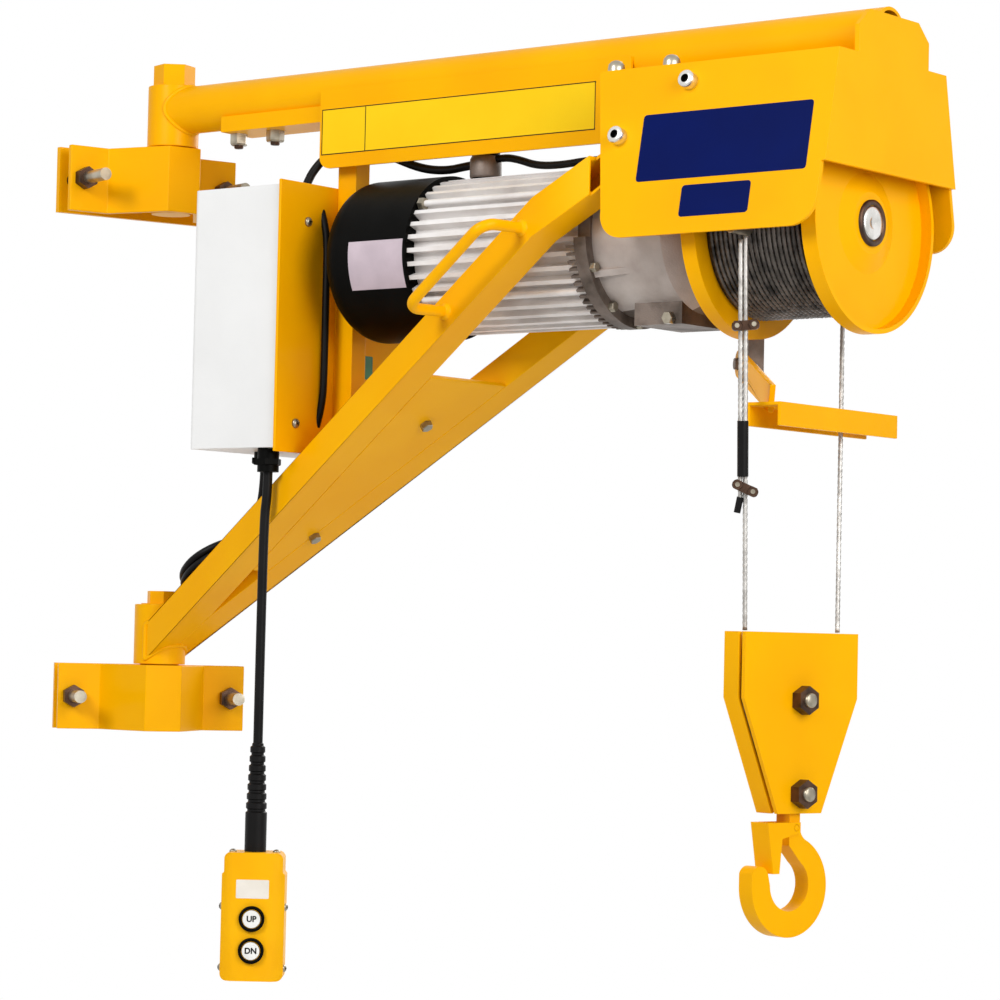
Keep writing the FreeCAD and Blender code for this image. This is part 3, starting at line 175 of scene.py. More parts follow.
# Each lamp's place on the arm's axes, its width in metres and its power.
LAMPS = {"key": ((300, -2500, 1500), 1.0, 44),
         "fill": ((2700, -700, 900), 1.6, 42),
         "back": ((100, 2600, 1300), 1.6, 42)}
middle = on_arm(400, 0, 250)
for name, (place, width, power) in LAMPS.items():
    lamp = bpy.data.objects.new(name, bpy.data.lights.new(name, "AREA"))
    lamp.data.size = width
    lamp.data.energy = power
    lamp.location = on_arm(*place)
    lamp.rotation_euler = (middle - on_arm(*place)).to_track_quat("-Z", "Y").to_euler()
    bpy.context.collection.objects.link(lamp)
bpy.ops.mesh.primitive_plane_add(size=6, location=(0.4, 0.2, -1.35))
floor = bpy.context.object
floor.name = "floor"
print("world,", len(LAMPS), "lamps and a floor")

# %% [markdown]
# ## Surfaces
# Every surface is made from noise, with no pictures. One recipe serves all of them: a slow cloud shifts
# the colour and the gloss a little, as hand-sprayed paint or handled rubber does, and a fine grain
# raises the skin. Each could be built by hand in the shader editor; one function keeps them alike and
# leaves only numbers to choose.


# %% Surfaces
def srgb(*parts):
    """A screen colour of 0 to 255 as the linear colour that shaders use."""
    parts = [c / 255 for c in parts]
    return tuple(c / 12.92 if c <= 0.04045 else ((c + 0.055) / 1.055) ** 2.4 for c in parts) + (1.0,)


def surface(name, colour, shade, rough, metal, coat, cloud, grain, height, shine):
    """A finish whose colour wanders between two tones and whose skin has a fine grain."""
    mat = bpy.data.materials.new(name)
    mat.use_nodes = True
    tree = mat.node_tree
    skin = tree.nodes["Principled BSDF"]
    skin.inputs["Metallic"].default_value = metal
    skin.inputs["Coat Weight"].default_value = coat
    skin.inputs["Coat Roughness"].default_value = 0.12
    skin.inputs["Specular IOR Level"].default_value = shine
    place = tree.nodes.new("ShaderNodeTexCoord").outputs["Object"]
    slow = tree.nodes.new("ShaderNodeTexNoise")
    slow.inputs["Scale"].default_value = cloud
    slow.inputs["Detail"].default_value = 6.0
    tone = tree.nodes.new("ShaderNodeValToRGB")
    tone.color_ramp.elements[0].position = 0.3
    tone.color_ramp.elements[0].color = srgb(*shade)
    tone.color_ramp.elements[1].position = 0.62
    tone.color_ramp.elements[1].color = srgb(*colour)
    gloss = tree.nodes.new("ShaderNodeMapRange")
    gloss.inputs["To Min"].default_value = rough * 1.25
    gloss.inputs["To Max"].default_value = rough * 0.8
    fine = tree.nodes.new("ShaderNodeTexNoise")
    fine.inputs["Scale"].default_value = grain
    fine.inputs["Detail"].default_value = 3.0
    bump = tree.nodes.new("ShaderNodeBump")
    bump.inputs["Strength"].default_value = height
    bump.inputs["Distance"].default_value = 0.001
    for noise in (slow, fine):
        tree.links.new(place, noise.inputs["Vector"])
    tree.links.new(slow.outputs["Fac"], tone.inputs["Fac"])
    tree.links.new(tone.outputs["Color"], skin.inputs["Base Color"])
    tree.links.new(slow.outputs["Fac"], gloss.inputs["Value"])
    tree.links.new(gloss.outputs["Result"], skin.inputs["Roughness"])
    tree.links.new(fine.outputs["Fac"], bump.inputs["Height"])
    tree.links.new(bump.outputs["Normal"], skin.inputs["Normal"])
    return mat


print("one recipe for every surface")

# %% [markdown]
# ## A table of finishes
# Paint gets a thin clear coat over an orange-peel grain, castings a coarse grain, rubber and plastic a dull
# one. The paint's shine is low, because the white room would wash its yellow out. The table's columns are
# light tone, dark tone, roughness, metal, clear coat, cloud scale, grain scale, grain height and shine.

# %% A table of finishes
LOOKS = {
    "yellow_paint": ((252, 182, 0), (248, 173, 0), 0.36, 0, 0.05, 9, 420, 0.07, 0.06),
    "zinc_steel": ((182, 174, 156), (120, 112, 98), 0.3, 0.9, 0, 60, 1500, 0.06, 0.5),
    "black_steel": ((92, 66, 50), (44, 32, 26), 0.36, 0.75, 0, 80, 1200, 0.1, 0.5),
    "motor_paint": ((242, 239, 237), (222, 217, 214), 0.36, 0.12, 0, 30, 900, 0.16, 0.3),
    "black_plastic": ((8, 8, 7), (3, 3, 2), 0.4, 0, 0, 30, 900, 0.1, 0.04),
    "white_box": ((240, 240, 239), (234, 234, 233), 0.4, 0, 0.05, 10, 600, 0.06, 0.5),
    "black_rubber": ((15, 14, 14), (7, 6, 6), 0.42, 0, 0, 40, 1500, 0.14, 0.12),
    "pendant_plastic": ((250, 184, 10), (245, 174, 6), 0.36, 0, 0.05, 20, 1400, 0.1, 0.08),
    "button_plastic": ((238, 238, 234), (222, 222, 217), 0.3, 0, 0.1, 60, 900, 0.04, 0.5),
    "wire_rope": ((200, 197, 192), (150, 146, 141), 0.36, 0.6, 0, 120, 2600, 0.2, 0.5),
    "sheave_iron": ((130, 125, 120), (80, 76, 72), 0.5, 0.6, 0, 50, 1000, 0.2, 0.5),
    "greased_rope": ((104, 97, 91), (34, 31, 29), 0.3, 0.6, 0, 90, 2200, 0.25, 0.5),
    "casting": ((198, 188, 181), (168, 156, 149), 0.42, 0.3, 0, 26, 800, 0.3, 0.3),
    # flange_casting is the flange's own dark casting, and also painted shade on the gear housing's foot.
    "flange_casting": ((126, 114, 106), (78, 69, 62), 0.46, 0.35, 0, 40, 800, 0.3, 0.2),
    "navy_film": ((0, 18, 84), (0, 15, 76), 0.4, 0, 0, 12, 900, 0.02, 0.05),
    "label_film": ((252, 208, 26), (250, 202, 20), 0.4, 0, 0, 12, 900, 0.02, 0.08),
    # ink is real print on the stickers and the marks, and also painted shade inside the screws' recesses.
    "ink_and_shade": ((20, 17, 13), (12, 10, 8), 0.5, 0, 0, 30, 900, 0.02, 0.1),
    "bright_steel": ((236, 234, 230), (200, 198, 192), 0.2, 0.95, 0, 70, 1600, 0.05, 0.5),
    "pale_film": ((236, 230, 220), (226, 219, 207), 0.45, 0, 0, 40, 900, 0.03, 0.15),
    "plate_foil": ((206, 190, 199), (188, 173, 182), 0.38, 0.2, 0, 25, 900, 0.05, 0.2),
    "green_tag": ((40, 120, 70), (24, 92, 52), 0.45, 0, 0, 40, 900, 0.05, 0.5),
    "pale_floor": ((250, 250, 249), (246, 246, 245), 0.8, 0, 0, 2, 60, 0.02, 0.5),
}
FINISH = {name: surface(name, *values) for name, values in LOOKS.items()}
YELLOW, ZINC, RUBBER = FINISH["yellow_paint"], FINISH["zinc_steel"], FINISH["black_rubber"]
DARK_STEEL, BRIGHT, INK_AND_SHADE = FINISH["black_steel"], FINISH["bright_steel"], FINISH["ink_and_shade"]
FLANGE_AND_SHADE, GREASED = FINISH["flange_casting"], FINISH["greased_rope"]
print(len(FINISH), "finishes")

# %% [markdown]
# ## Finishes on the frame
# The record says which finish each node has. A few pieces need two: the gear housing's flange is a dark
# casting, its foot takes the same dark finish as painted shade, and the clamps' bolts have dark nuts on bright
# thread. Faces take the second finish by their place, so no node has to be cut up.

# %% Finishes on the frame
slot_of = {part["node"]: part["material_slot"] for part in frame["record"]["subparts"]}
for name, node in nodes.items():
    node.data.materials.clear()
    node.data.materials.append(FINISH["casting" if name == "gear_housing" else slot_of[name]])
floor.data.materials.append(FINISH["pale_floor"])


def two_tone(name, second, base, rule):
    """Give a node's faces a second finish where the rule holds for their place in the base's axes."""
    node = nodes[name]
    node.data.materials.append(second)
    for face in node.data.polygons:
        face.material_index = int(rule(base.inverted() @ node.matrix_world @ face.center / MM))


FLANGE_END, HOUSING_FOOT, NUT_END = 569, 352, 36
# The flange's dark is its own; below HOUSING_FOOT the same dark is painted shade on the housing's foot.
two_tone("gear_housing", FLANGE_AND_SHADE, ARM, lambda place: place.x < FLANGE_END or place.z < HOUSING_FOOT)
two_tone("lower_clamp_bolts", DARK_STEEL, Matrix.Identity(4), lambda place: place.x < NUT_END)
two_tone("upper_clamp_bolts", DARK_STEEL, UPPER_CLAMP, lambda place: place.x < NUT_END)
print(len(nodes), "nodes finished")

# %% [markdown]
# ## Softened edges
# Folded plate, sawn tube and castings have no knife edges. The imported faces don't share corners, so a
# weld joins them first; then a bevel rounds only the sharp edges, and weighted normals keep the flats flat.

# %% Softened edges
SOFT_EDGES = {
    0.8: ["lower_clamp_jaw", "upper_clamp_jaw", "drum_hood", "label_panel", "block_rear_pan", "box_post",
          "tube_rail", "strut_web_plate", "box_back_plate", "limit_lever", "lower_sleeve", "upper_sleeve"],
    2.0: ["near_strut", "far_strut", "lower_hinge_pin", "upper_hinge_pin", "control_box", "pendant_body"],
    4.0: ["hook"]}
for width, names in SOFT_EDGES.items():
    for name in names:
        weld = nodes[name].modifiers.new("weld", "WELD")
        weld.merge_threshold = 0.00002
        bevel = nodes[name].modifiers.new("bevel", "BEVEL")
        bevel.width = width * MM
        bevel.segments = 3
        bevel.limit_method = "ANGLE"
        bevel.angle_limit = math.radians(40)
        bevel.use_clamp_overlap = True
        flats = nodes[name].modifiers.new("flats", "WEIGHTED_NORMAL")
        flats.weight = 100
print(sum(len(names) for names in SOFT_EDGES.values()), "nodes with soft edges")

# %% [markdown]
# ## Turned and flat shapes
# Bolts, nuts, clips and glands are turned shapes: a half profile swept round an axis. A screw modifier would
# do it too; drawing the rings keeps every point in sight. With six sides in place of forty the same sweep
# gives a nut. Flat stickers are rounded rectangles with a little thickness.


# %% Turned and flat shapes
def linked(name, mesh, material, smooth=True):
    """An object from a finished mesh, in the scene."""
    data = bpy.data.meshes.new(name)
    mesh.to_mesh(data)
    mesh.free()
    for face in data.polygons:
        face.use_smooth = smooth
    data.materials.append(material)
    item = bpy.data.objects.new(name, data)
    bpy.context.collection.objects.link(item)
    return item


def made(name, mesh, material, at, body, smooth=True):
    """Put a finished mesh at its axes and let it ride on a body."""
    item = linked(name, mesh, material, smooth)
    item.matrix_world = at
    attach(item, body)
    return item


def turned(name, profile, material, at, body, sides=40, smooth=True):
    """Sweep a profile of (radius, height) points in millimetres round the Z axis."""
    mesh = bmesh.new()
    rings = []
    for radius, height in profile:
        if radius == 0:
            rings.append([mesh.verts.new((0, 0, height * MM))] * sides)
            continue
        corners = [2 * math.pi * k / sides for k in range(sides)]
        rings.append([mesh.verts.new((radius * MM * math.cos(a), radius * MM * math.sin(a), height * MM))
                      for a in corners])
    for low, high in zip(rings, rings[1:]):
        for k in range(sides):
            corners = [low[k], low[(k + 1) % sides], high[(k + 1) % sides], high[k]]
            face = [corner for i, corner in enumerate(corners) if corner not in corners[:i]]
            if len(face) > 2:
                mesh.faces.new(face)
    return made(name, mesh, material, at, body, smooth)


def plate(name, width, height, corner, thick, material, at, body):
    """A flat rounded rectangle about its own middle, in millimetres."""
    mesh = bmesh.new()
    rim = []
    for i, (x, y) in enumerate(((1, 1), (-1, 1), (-1, -1), (1, -1))):
        for step in range(5):
            a = math.pi / 2 * (i + step / 4)
            rim.append(((x * (width / 2 - corner) + corner * math.cos(a)) * MM,
                        (y * (height / 2 - corner) + corner * math.sin(a)) * MM))
    low = [mesh.verts.new((x, y, 0)) for x, y in rim]
    high = [mesh.verts.new((x, y, thick * MM)) for x, y in rim]
    mesh.faces.new(high)
    mesh.faces.new(low[::-1])
    for k in range(len(rim)):
        following = (k + 1) % len(rim)
        mesh.faces.new((low[k], low[following], high[following], high[k]))
    return made(name, mesh, material, at, body, False)


print("turned and flat shapes ready")

# %% [markdown]
# ## Nuts and screws
# Three heads serve the whole hoist: a hexagon, a cylinder head with a socket and a low cross-headed screw.
# Recesses are dark pieces of painted shade in place of real cuts, which at this size look the same and stay
# light.


# %% Nuts and screws
def nut(name, at, body, across, height, material=ZINC):
    """A hexagon with a worn top edge."""
    radius = across / math.sqrt(3)
    turned(name, [(0, 0), (radius, 0), (radius, height * 0.85), (radius * 0.9, height), (0, height)],
           material, at, body, 6, False)


def socket_screw(name, at, body, dia=15.0, height=9.0):
    """A cylinder head with a hexagon socket whose inside is painted dark as shade."""
    radius, socket = dia / 2, dia * 0.29
    turned(name, [(radius, 0), (radius, height - 1), (radius - 1, height), (radius * 0.5, height)],
           BRIGHT, at, body, 32)
    # The socket's walls and floor take the dark finish as painted shade.
    turned(name + "_socket", [(socket, height), (socket, height - 5), (0, height - 5)], INK_AND_SHADE, at, body, 6,
           False)


def pan_screw(name, at, body, dia):
    """A low round head with a cross recess drawn as two dark bars of painted shade."""
    top = dia * 0.4
    turned(name, [(0, 0), (dia / 2, 0), (dia / 2, dia * 0.18), (dia * 0.32, dia * 0.36), (0, top)],
           ZINC, at, body, 24)
    # The two bars are painted shade standing in for the cross recess.
    for turn in (0, 90):
        plate(f"{name}_slot_{turn}", dia * 0.5, dia * 0.1, dia * 0.05, 0.15, INK_AND_SHADE,
              at @ shift(0, 0, top) @ spun(turn), body)


print("three kinds of fastener ready")

# %% [markdown]
# ## Splines
# Cords, cables and bent wire are curves with a round section. A curve keeps its route as a few control
# points, which are easier to change than a swept mesh. A spline of order three stays close to them.


# %% Splines
def spline(name, points, dia, material, body):
    """One smooth round line along control points in metres."""
    curve = bpy.data.curves.new(name, "CURVE")
    curve.dimensions = "3D"
    line = curve.splines.new("NURBS")
    line.points.add(len(points) - 1)
    for control, place in zip(line.points, points):
        control.co = (*place, 1)
    line.order_u = 3
    line.use_endpoint_u = True
    line.resolution_u = 6
    curve.bevel_depth = dia / 2 * MM
    curve.bevel_resolution = 4
    curve.use_fill_caps = True
    curve.materials.append(material)
    item = bpy.data.objects.new(name, curve)
    bpy.context.collection.objects.link(item)
    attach(item, body)
    return item


def length_of(item):
    """Length of a spline, read from the line that it draws without its thickness."""
    bare = item.data.copy()
    bare.bevel_depth = 0
    probe = bpy.data.objects.new("probe", bare)
    mesh = bpy.data.meshes.new_from_object(probe)
    ends = [[mesh.vertices[i].co for i in edge.vertices] for edge in mesh.edges]
    total = sum((a - b).length for a, b in ends)
    bpy.data.objects.remove(probe)
    return total


print("splines ready")

# %% [markdown]
# ## Push-button cord
# The cord hangs from the gland under the control box to the station's boot. Its control points repeat the
# solid model's route, so the spline takes the place of that plain tube.

# %% Push-button cord
cord_route = [on_arm(200, -70, BOX_FOOT - 22), on_arm(200, -70, BOX_FOOT - 44), on_arm(196, -70, BOX_FOOT - 68),
              on_arm(196, -70, -36)]
pendant_cord = spline("pendant_cord_line", cord_route, 9, RUBBER, "jib")
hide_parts("pendant_cord")
print("cord %.3f m" % length_of(pendant_cord))

# %% [markdown]
# ## Power lead
# The lead repeats the solid model's route as well. Its spare length goes on into the coil that lies on the
# struts: more points of the same spline, twelve to a turn, the turns beside and on each other as a hand
# winds them. Each row of the stack says how far a turn lies outside and above the first.

# %% Power lead
LEAD_START = Vector((150, -20, BOX_FOOT - 12))
lead_route = [LEAD_START + Vector(step) for step in
              ((0, 0, 0), (0, 0, -30), (-14, 3, -54), (-40, 8, -72), (-66, 11, -84), (-88, 13, -96))]
COIL_PLACE, COIL_TILT, COIL_RISE = (68, 24, 116), -34.7, 12.3
COIL_STEPS, PER_TURN, COIL_ENTRY = 64, 12, 274
COIL_REACH = 33 / 0.966  # the control points stand a little outside the line that they draw
STACK = ((-3, 0.5), (0.5, -7.6), (8.2, -7), (8.4, 1), (7.5, 8.8), (-0.3, 8), (3, 14))
coil_axes = Matrix.Translation(COIL_PLACE) @ spun(COIL_TILT, "Y") @ Matrix.Translation((0, 0, COIL_RISE))
for step in range(1, COIL_STEPS + 1):
    lane, share = divmod(min(step, COIL_STEPS - 0.5) / PER_TURN, 1)
    (r0, z0), (r1, z1) = STACK[int(lane)], STACK[int(lane) + 1]
    reach = COIL_REACH + r0 + (r1 - r0) * share
    angle = math.radians(COIL_ENTRY - 360 * (lane + share))
    lead_route.append(coil_axes @ Vector((reach * math.cos(angle), reach * math.sin(angle),
                                          z0 + (z1 - z0) * share)))
power_lead = spline("power_lead_line", [on_arm(*p) for p in lead_route], 8, RUBBER, "jib")
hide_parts("power_lead", "power_coil")
print("lead %.3f m" % length_of(power_lead))

# %% [markdown]
# ## Laid rope
# A wire rope is six strands twisted together. A ring with six lobes, carried along the rope's line and
# turned once per lay, draws that without modelling each strand.

# %% Laid rope
STRANDS, VALLEY = 6, 0.8
ROPE, FALL, LAY = 5.0, 4.2, 32.0


def laid_rope(name, path, dia, material):
    """A six-strand rope along a list of points in metres."""
    mesh = bmesh.new()
    sides, done, side = 2 * STRANDS, 0.0, None
    rings = []
    for i, place in enumerate(path):
        ahead = (path[min(i + 1, len(path) - 1)] - path[max(i - 1, 0)]).normalized()
        side = (ahead.orthogonal() if side is None else side - ahead * side.dot(ahead)).normalized()
        over = ahead.cross(side)
        done += (place - path[i - 1]).length if i else 0.0
        twist = 2 * math.pi * done / (LAY * MM)
        ring = []
        for k in range(sides):
            a = 2 * math.pi * k / sides + twist
            reach = dia / 2 * MM * (1.0 if k % 2 else VALLEY)
            ring.append(mesh.verts.new(place + (side * math.cos(a) + over * math.sin(a)) * reach))
        rings.append(ring)
    for low, high in zip(rings, rings[1:]):
        for k in range(sides):
            mesh.faces.new((low[k], low[(k + 1) % sides], high[(k + 1) % sides], high[k]))
    mesh.faces.new(rings[0][::-1])
    mesh.faces.new(rings[-1])
    return linked(name, mesh, material)


print("rope of", STRANDS, "strands ready")

# %% [markdown]
# ## Falls
# The rope hangs in two falls: the dead one from its anchor, the live one from the drum. Their upper ends
# lie at the jib and their lower ends at the hook block; each fall is one fixed mesh.

# %% Falls
SHEAVE_R, BLOCK_TOP = 53.5, 76
FALL_X = SHEAVE_R * math.sin(math.radians(BLOCK_TURN))
FALL_Y = SHEAVE_R * math.cos(math.radians(BLOCK_TURN))
DEAD = (Vector((DRUM_X + 62, -86, 401)), Vector((BLOCK_X - FALL_X, BLOCK_Y - FALL_Y, BLOCK_TOP)))
LIVE = (Vector((DRUM_X + 51, 81, DRUM_Z)), Vector((BLOCK_X + FALL_X, BLOCK_Y + FALL_Y, BLOCK_TOP)))
for name, (high, low) in (("dead_fall", DEAD), ("live_fall", LIVE)):
    steps = int((high - low).length / LAY * 10)
    path = [on_arm(*high.lerp(low, i / steps)) for i in range(steps + 1)]
    fall = laid_rope(name + "_strands", path, FALL, FINISH["wire_rope"])
    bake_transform(fall)
    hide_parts(name)
print("two falls")

# %% [markdown]
# ## Turns on the drum
# The rope lies on the drum as a helix, one rope's width to a turn, and rides on the drum. A small sway
# keeps the turns from looking machined. A dark core under them closes the gaps between the turns.

# %% Turns on the drum
WOUND_FROM, WOUND_WIDTH, WOUND_R, WOUND_STEPS = DRUM_X + 14, 106, 77.5, 120
turns = int(WOUND_WIDTH / (ROPE + 0.02))
drum_axes = facing(WOUND_FROM, 0, DRUM_Z, (1, 0, 0))
helix = []
for step in range(turns * WOUND_STEPS + 1):
    turn = step / WOUND_STEPS
    a = 2 * math.pi * turn
    sway = 0.5 * math.sin(turn * 2.1) + 0.3 * math.sin(turn * 5.3 + a)
    reach = WOUND_R - ROPE / 2 - 0.3 + 0.25 * sway
    along = ROPE / 2 + turn * (WOUND_WIDTH - ROPE) / turns
    helix.append(drum_axes @ (Vector((reach * math.cos(a), reach * math.sin(a), along)) * MM))
winding = laid_rope("winding_turns", helix, ROPE, GREASED)
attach(winding, "drum")
turned("winding_core", [(WOUND_R - 6, 0), (WOUND_R - 3, 0.2), (WOUND_R - 3, WOUND_WIDTH - 0.2),
                        (WOUND_R - 6, WOUND_WIDTH)], GREASED, drum_axes, "drum", 64)
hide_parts("rope_winding")
print(turns, "turns on the drum")

# %% [markdown]
# ## Rope clips
# The dead fall is doubled back and held by two clips: a U-bolt round both ropes, a saddle and two nuts.
# A black sleeve covers the doubled rope above the lower clip, and the tail ends just below it. The bows are
# splines like the cords, bent round both ropes.


# %% Rope clips
def along_dead(height):
    """The dead fall's place at a height of the arm."""
    return DEAD[1].lerp(DEAD[0], (height - DEAD[1].z) / (DEAD[0].z - DEAD[1].z))


TO_VIEWER = (0.56, -0.83, 0.0)
BOW = [(-7, 0, 12), (-7, 0, 4), (-7, 0, -3), (-4, 0, -6), (4, 0, -6), (7, 0, -3), (7, 0, 4), (7, 0, 12)]
for name, height, tilt in (("upper_clip", 327, 6), ("lower_clip", 193, -24)):
    at = facing(*along_dead(height), TO_VIEWER, spin=tilt)
    plate(name + "_saddle", 23, 8, 3.5, 5, DARK_STEEL, at @ shift(0, 0, 2.2), "jib")
    spline(name + "_bow", [at @ (Vector(p) * MM) for p in BOW], 4, ZINC, "jib")
    for side in (-7, 7):
        nut(f"{name}_nut_{side + 7}", at @ shift(side, 0, 7), "jib", 8, 4, DARK_STEEL)
BESIDE = Vector((-3.4, -2.3, 0))
doubled = [on_arm(*(along_dead(z) + BESIDE)) for z in range(182, 400, 4)]
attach(laid_rope("doubled_rope", doubled, FALL, FINISH["wire_rope"]), "jib")
wrap = [on_arm(*(along_dead(z) + BESIDE * 0.5)) for z in (203, 214, 226, 238, 249)]
spline("rope_sleeve", wrap, 9.5, RUBBER, "jib")
tail = [on_arm(*(along_dead(z) + BESIDE * (1 + (186 - z) * 0.05))) for z in (186, 180, 173)]
spline("tail_cap", tail, 5.6, RUBBER, "jib")
print("two clips, a sleeve and the rope's tail")

# %% [markdown]
# ## Fasteners
# Fasteners tell the eye how large a machine is, so each one is true to scale. Socket screws hold the
# hood's panels, domed screws its roof, cross-headed screws the control box, and hexagons hold the rail,
# the web and the gear flange.

# %% Fasteners
for i, (x, height) in enumerate(((681, 534), (615, 491))):
    socket_screw(f"panel_screw_{i}", PANEL @ shift(x, down_panel(height)), "jib")
    y = HOOD_HALF + (HOOD_TOP - height) * math.tan(HOOD_FLARE)
    socket_screw(f"far_panel_screw_{i}", facing(x, y, height, (0, flare_cos, flare_sin)), "jib")
DOME = [(7.5, 0), (7.5, 3), (6.8, 6.5), (4.6, 9), (2.2, 10), (0, 10.2)]
for i, x in enumerate((594, 652)):
    for side in (-74, 74):
        turned(f"roof_screw_{i}_{side + 74}", DOME, ZINC, axes(x, side, HOOD_TOP), "jib", 32)
RAIL_FOOT, GEAR_FLANGE, BLOCK_FACE = 545, 568, 23.5
for i, x in enumerate((91, 138)):
    nut(f"rail_nut_{i}", facing(x, -3, RAIL_FOOT, (0, 0, -1), spin=20 * i), "jib", 15, 11)
    turned(f"rail_stud_{i}", [(0, 0), (4.5, 0), (4.5, 13), (3.8, 14), (0, 14)], DARK_STEEL,
           facing(x, -3, RAIL_FOOT, (0, 0, -1)), "jib", 20)
WEB_SLOPE, WEB_START = 0.6915, 34.5
WEB_PITCH = math.atan(0.692)
WEB_DOWN = (math.sin(WEB_PITCH), 0, -math.cos(WEB_PITCH))
for i, (x, y) in enumerate(((179, 20), (327, 3))):
    nut(f"web_bolt_{i}", facing(x, y, WEB_START + x * WEB_SLOPE, WEB_DOWN, spin=12), "jib", 10, 6)
BOX_BACK = 225
for i, (y, height) in enumerate(((-51, 447), (-62, 259), (51, 447), (62, 259))):
    pan_screw(f"box_screw_{i}", facing(BOX_BACK, y, height, (1, 0, 0), spin=25 * i), "jib", 9)
BOLT_RING = 74.5
for i, degrees in enumerate((62, 118, 205, 238, 270, 302, 335)):
    a = math.radians(degrees)
    y, z = BOLT_RING * math.cos(a), DRUM_Z + BOLT_RING * math.sin(a)
    nut(f"flange_bolt_{i}", facing(GEAR_FLANGE, y, z, (1, 0, 0), spin=9 * i), "jib", 8, 5)
nut("sump_plug", facing(628, -35, 342, (0, -1, 0)), "jib", 10, 6)
for name, height in (("sheave", 18.6), ("hook", -59.5)):
    turned(name + "_bolt_end", [(6.2, 0), (6.2, 2.4), (5.4, 3.2), (0, 3.4)], ZINC,
           facing(BLOCK_FACE, 0, height, (1, 0, 0), BLOCK), "hook_block", 24)
print("fasteners on the hood, rail, web, box, block and gear flange")

# %% [markdown]
# ## Weld beads
# The sleeves, the tube, the struts and the handle are welded, and the paint goes over the welds. Each bead
# is a thin round line where two pieces meet: on the sleeves' round skin it follows the cut of the tube or
# strut, and round each foot of the handle it is a small turned collar.

# %% Weld beads
SLEEVE_R, TUBE_R, BEAD = 25, 23, 4.5
saddle = []
for step in range(37):
    a = math.radians(10 * step)
    y = TUBE_R * math.cos(a)
    saddle.append(on_arm(math.sqrt(SLEEVE_R ** 2 - y ** 2), y, TUBE_Z + TUBE_R * math.sin(a)))
spline("tube_bead", saddle, BEAD, YELLOW, "jib")


def on_sleeve(side, degrees):
    """A place on the lower sleeve's skin, seen from above."""
    a = math.radians(degrees)
    return SLEEVE_R * math.cos(a), side * SLEEVE_R * math.sin(a)


def strut_seam(side, lift, degrees):
    """A point of the cut where a strut's top or bottom face meets the lower sleeve."""
    x, y = on_sleeve(side, degrees)
    return on_arm(x, y, lift + WEB_SLOPE * (x - SLEEVE_R))


STRUT_FOOT, STRUT_TOP, STRUT_EDGE = 51.8, 85.8, 81
for name, side in (("near", -1), ("far", 1)):
    seam = [strut_seam(side, STRUT_FOOT, degrees) for degrees in range(0, STRUT_EDGE + 1, 9)]
    seam += [on_arm(*on_sleeve(side, STRUT_EDGE), z) for z in range(42, 68, 5)]
    seam += [strut_seam(side, STRUT_TOP, degrees) for degrees in range(STRUT_EDGE, -1, -9)]
    spline(name + "_strut_bead", seam, BEAD, YELLOW, "jib")
HANDLE_FEET, HANDLE_OUT = ((432, -100.2, 350.1), (528, -117.1, 416.4)), (-0.174, -0.985, 0)
for i, place in enumerate(HANDLE_FEET):
    turned(f"handle_bead_{i}", [(4.6, 3.4), (6.2, 2.4), (7.4, 1.0), (8.0, -0.6)], YELLOW,
           facing(*place, HANDLE_OUT), "jib", 24)
print("beads on the sleeves and the handle")

# %% [markdown]
# ## Motor, gear and drum details
# The flange between motor and gear carries a ring of short cooling teeth, left out where the gear's sides
# are plain. The fan cover bears a blank pale plate bent to its curve, and nuts close the tie rods. The
# drum's shaft ends in bright steel inside a dark retaining ring. An array modifier could repeat the tooth;
# a loop of cubes in one mesh lets some of them be left out.

# %% Motor, gear and drum details
TEETH, TEETH_R, MOTOR_FLANGE = 72, 76, 556
tooth = Matrix.Diagonal((5 * MM, 2.4 * MM, 11 * MM, 1))
teeth = bmesh.new()
for step in range(TEETH):
    a = 2 * math.pi * step / TEETH
    if abs(math.cos(a)) > 0.9 and math.sin(a) > -0.1:
        continue
    bmesh.ops.create_cube(teeth, size=1, matrix=Matrix.Rotation(a, 4, "Z") @ shift(TEETH_R, 0, -5) @ tooth)
made("flange_teeth", teeth, FLANGE_AND_SHADE, facing(MOTOR_FLANGE, 0, DRUM_Z, (1, 0, 0)), "jib", False)
FAN_R, FAN_START, PLATE_WIDTH = 75.4, 296, 64
bend = bmesh.new()
columns = []
for step in range(13):
    a = math.radians(-26 + 34 * step / 12)
    columns.append([bend.verts.new((x * MM, -FAN_R * math.cos(a) * MM, FAN_R * math.sin(a) * MM))
                    for x in (0, PLATE_WIDTH)])
for low, high in zip(columns, columns[1:]):
    bend.faces.new((low[0], low[1], high[1], high[0]))
made("fan_plate", bend, FINISH["plate_foil"], axes(FAN_START, 0, MOTOR_Z), "jib")
shaft_end = facing(DRUM_X + 130, 0, DRUM_Z, (1, 0, 0))
turned("shaft_end", [(0, 1.2), (4, 1.2), (5, 2.2), (13, 2.2), (14.6, 0.8), (14.6, 0)], BRIGHT, shaft_end,
       "drum")
turned("retaining_ring", [(15, 0), (15, 1.6), (19.5, 1.6), (19.5, -4)], DARK_STEEL, shaft_end, "drum")
TIE_RING, TIE_END = 69.5, 363
for i, degrees in enumerate((39, 141, 219, 321)):
    a = math.radians(degrees)
    y, z = TIE_RING * math.cos(a), MOTOR_Z + TIE_RING * math.sin(a)
    nut(f"tie_nut_{i}", facing(TIE_END, y, z, (1, 0, 0)), "jib", 10, 6)
print("teeth, fan plate, tie-rod nuts and shaft end")

# %% [markdown]
# ## Cables on the jib
# Two black cables leave the motor's gland: one sags behind the label plate to the control box, the other
# goes to the gear. A third runs down the box's back plate. Each is one spline with its ends inside what
# it joins, and the glands get their nuts.

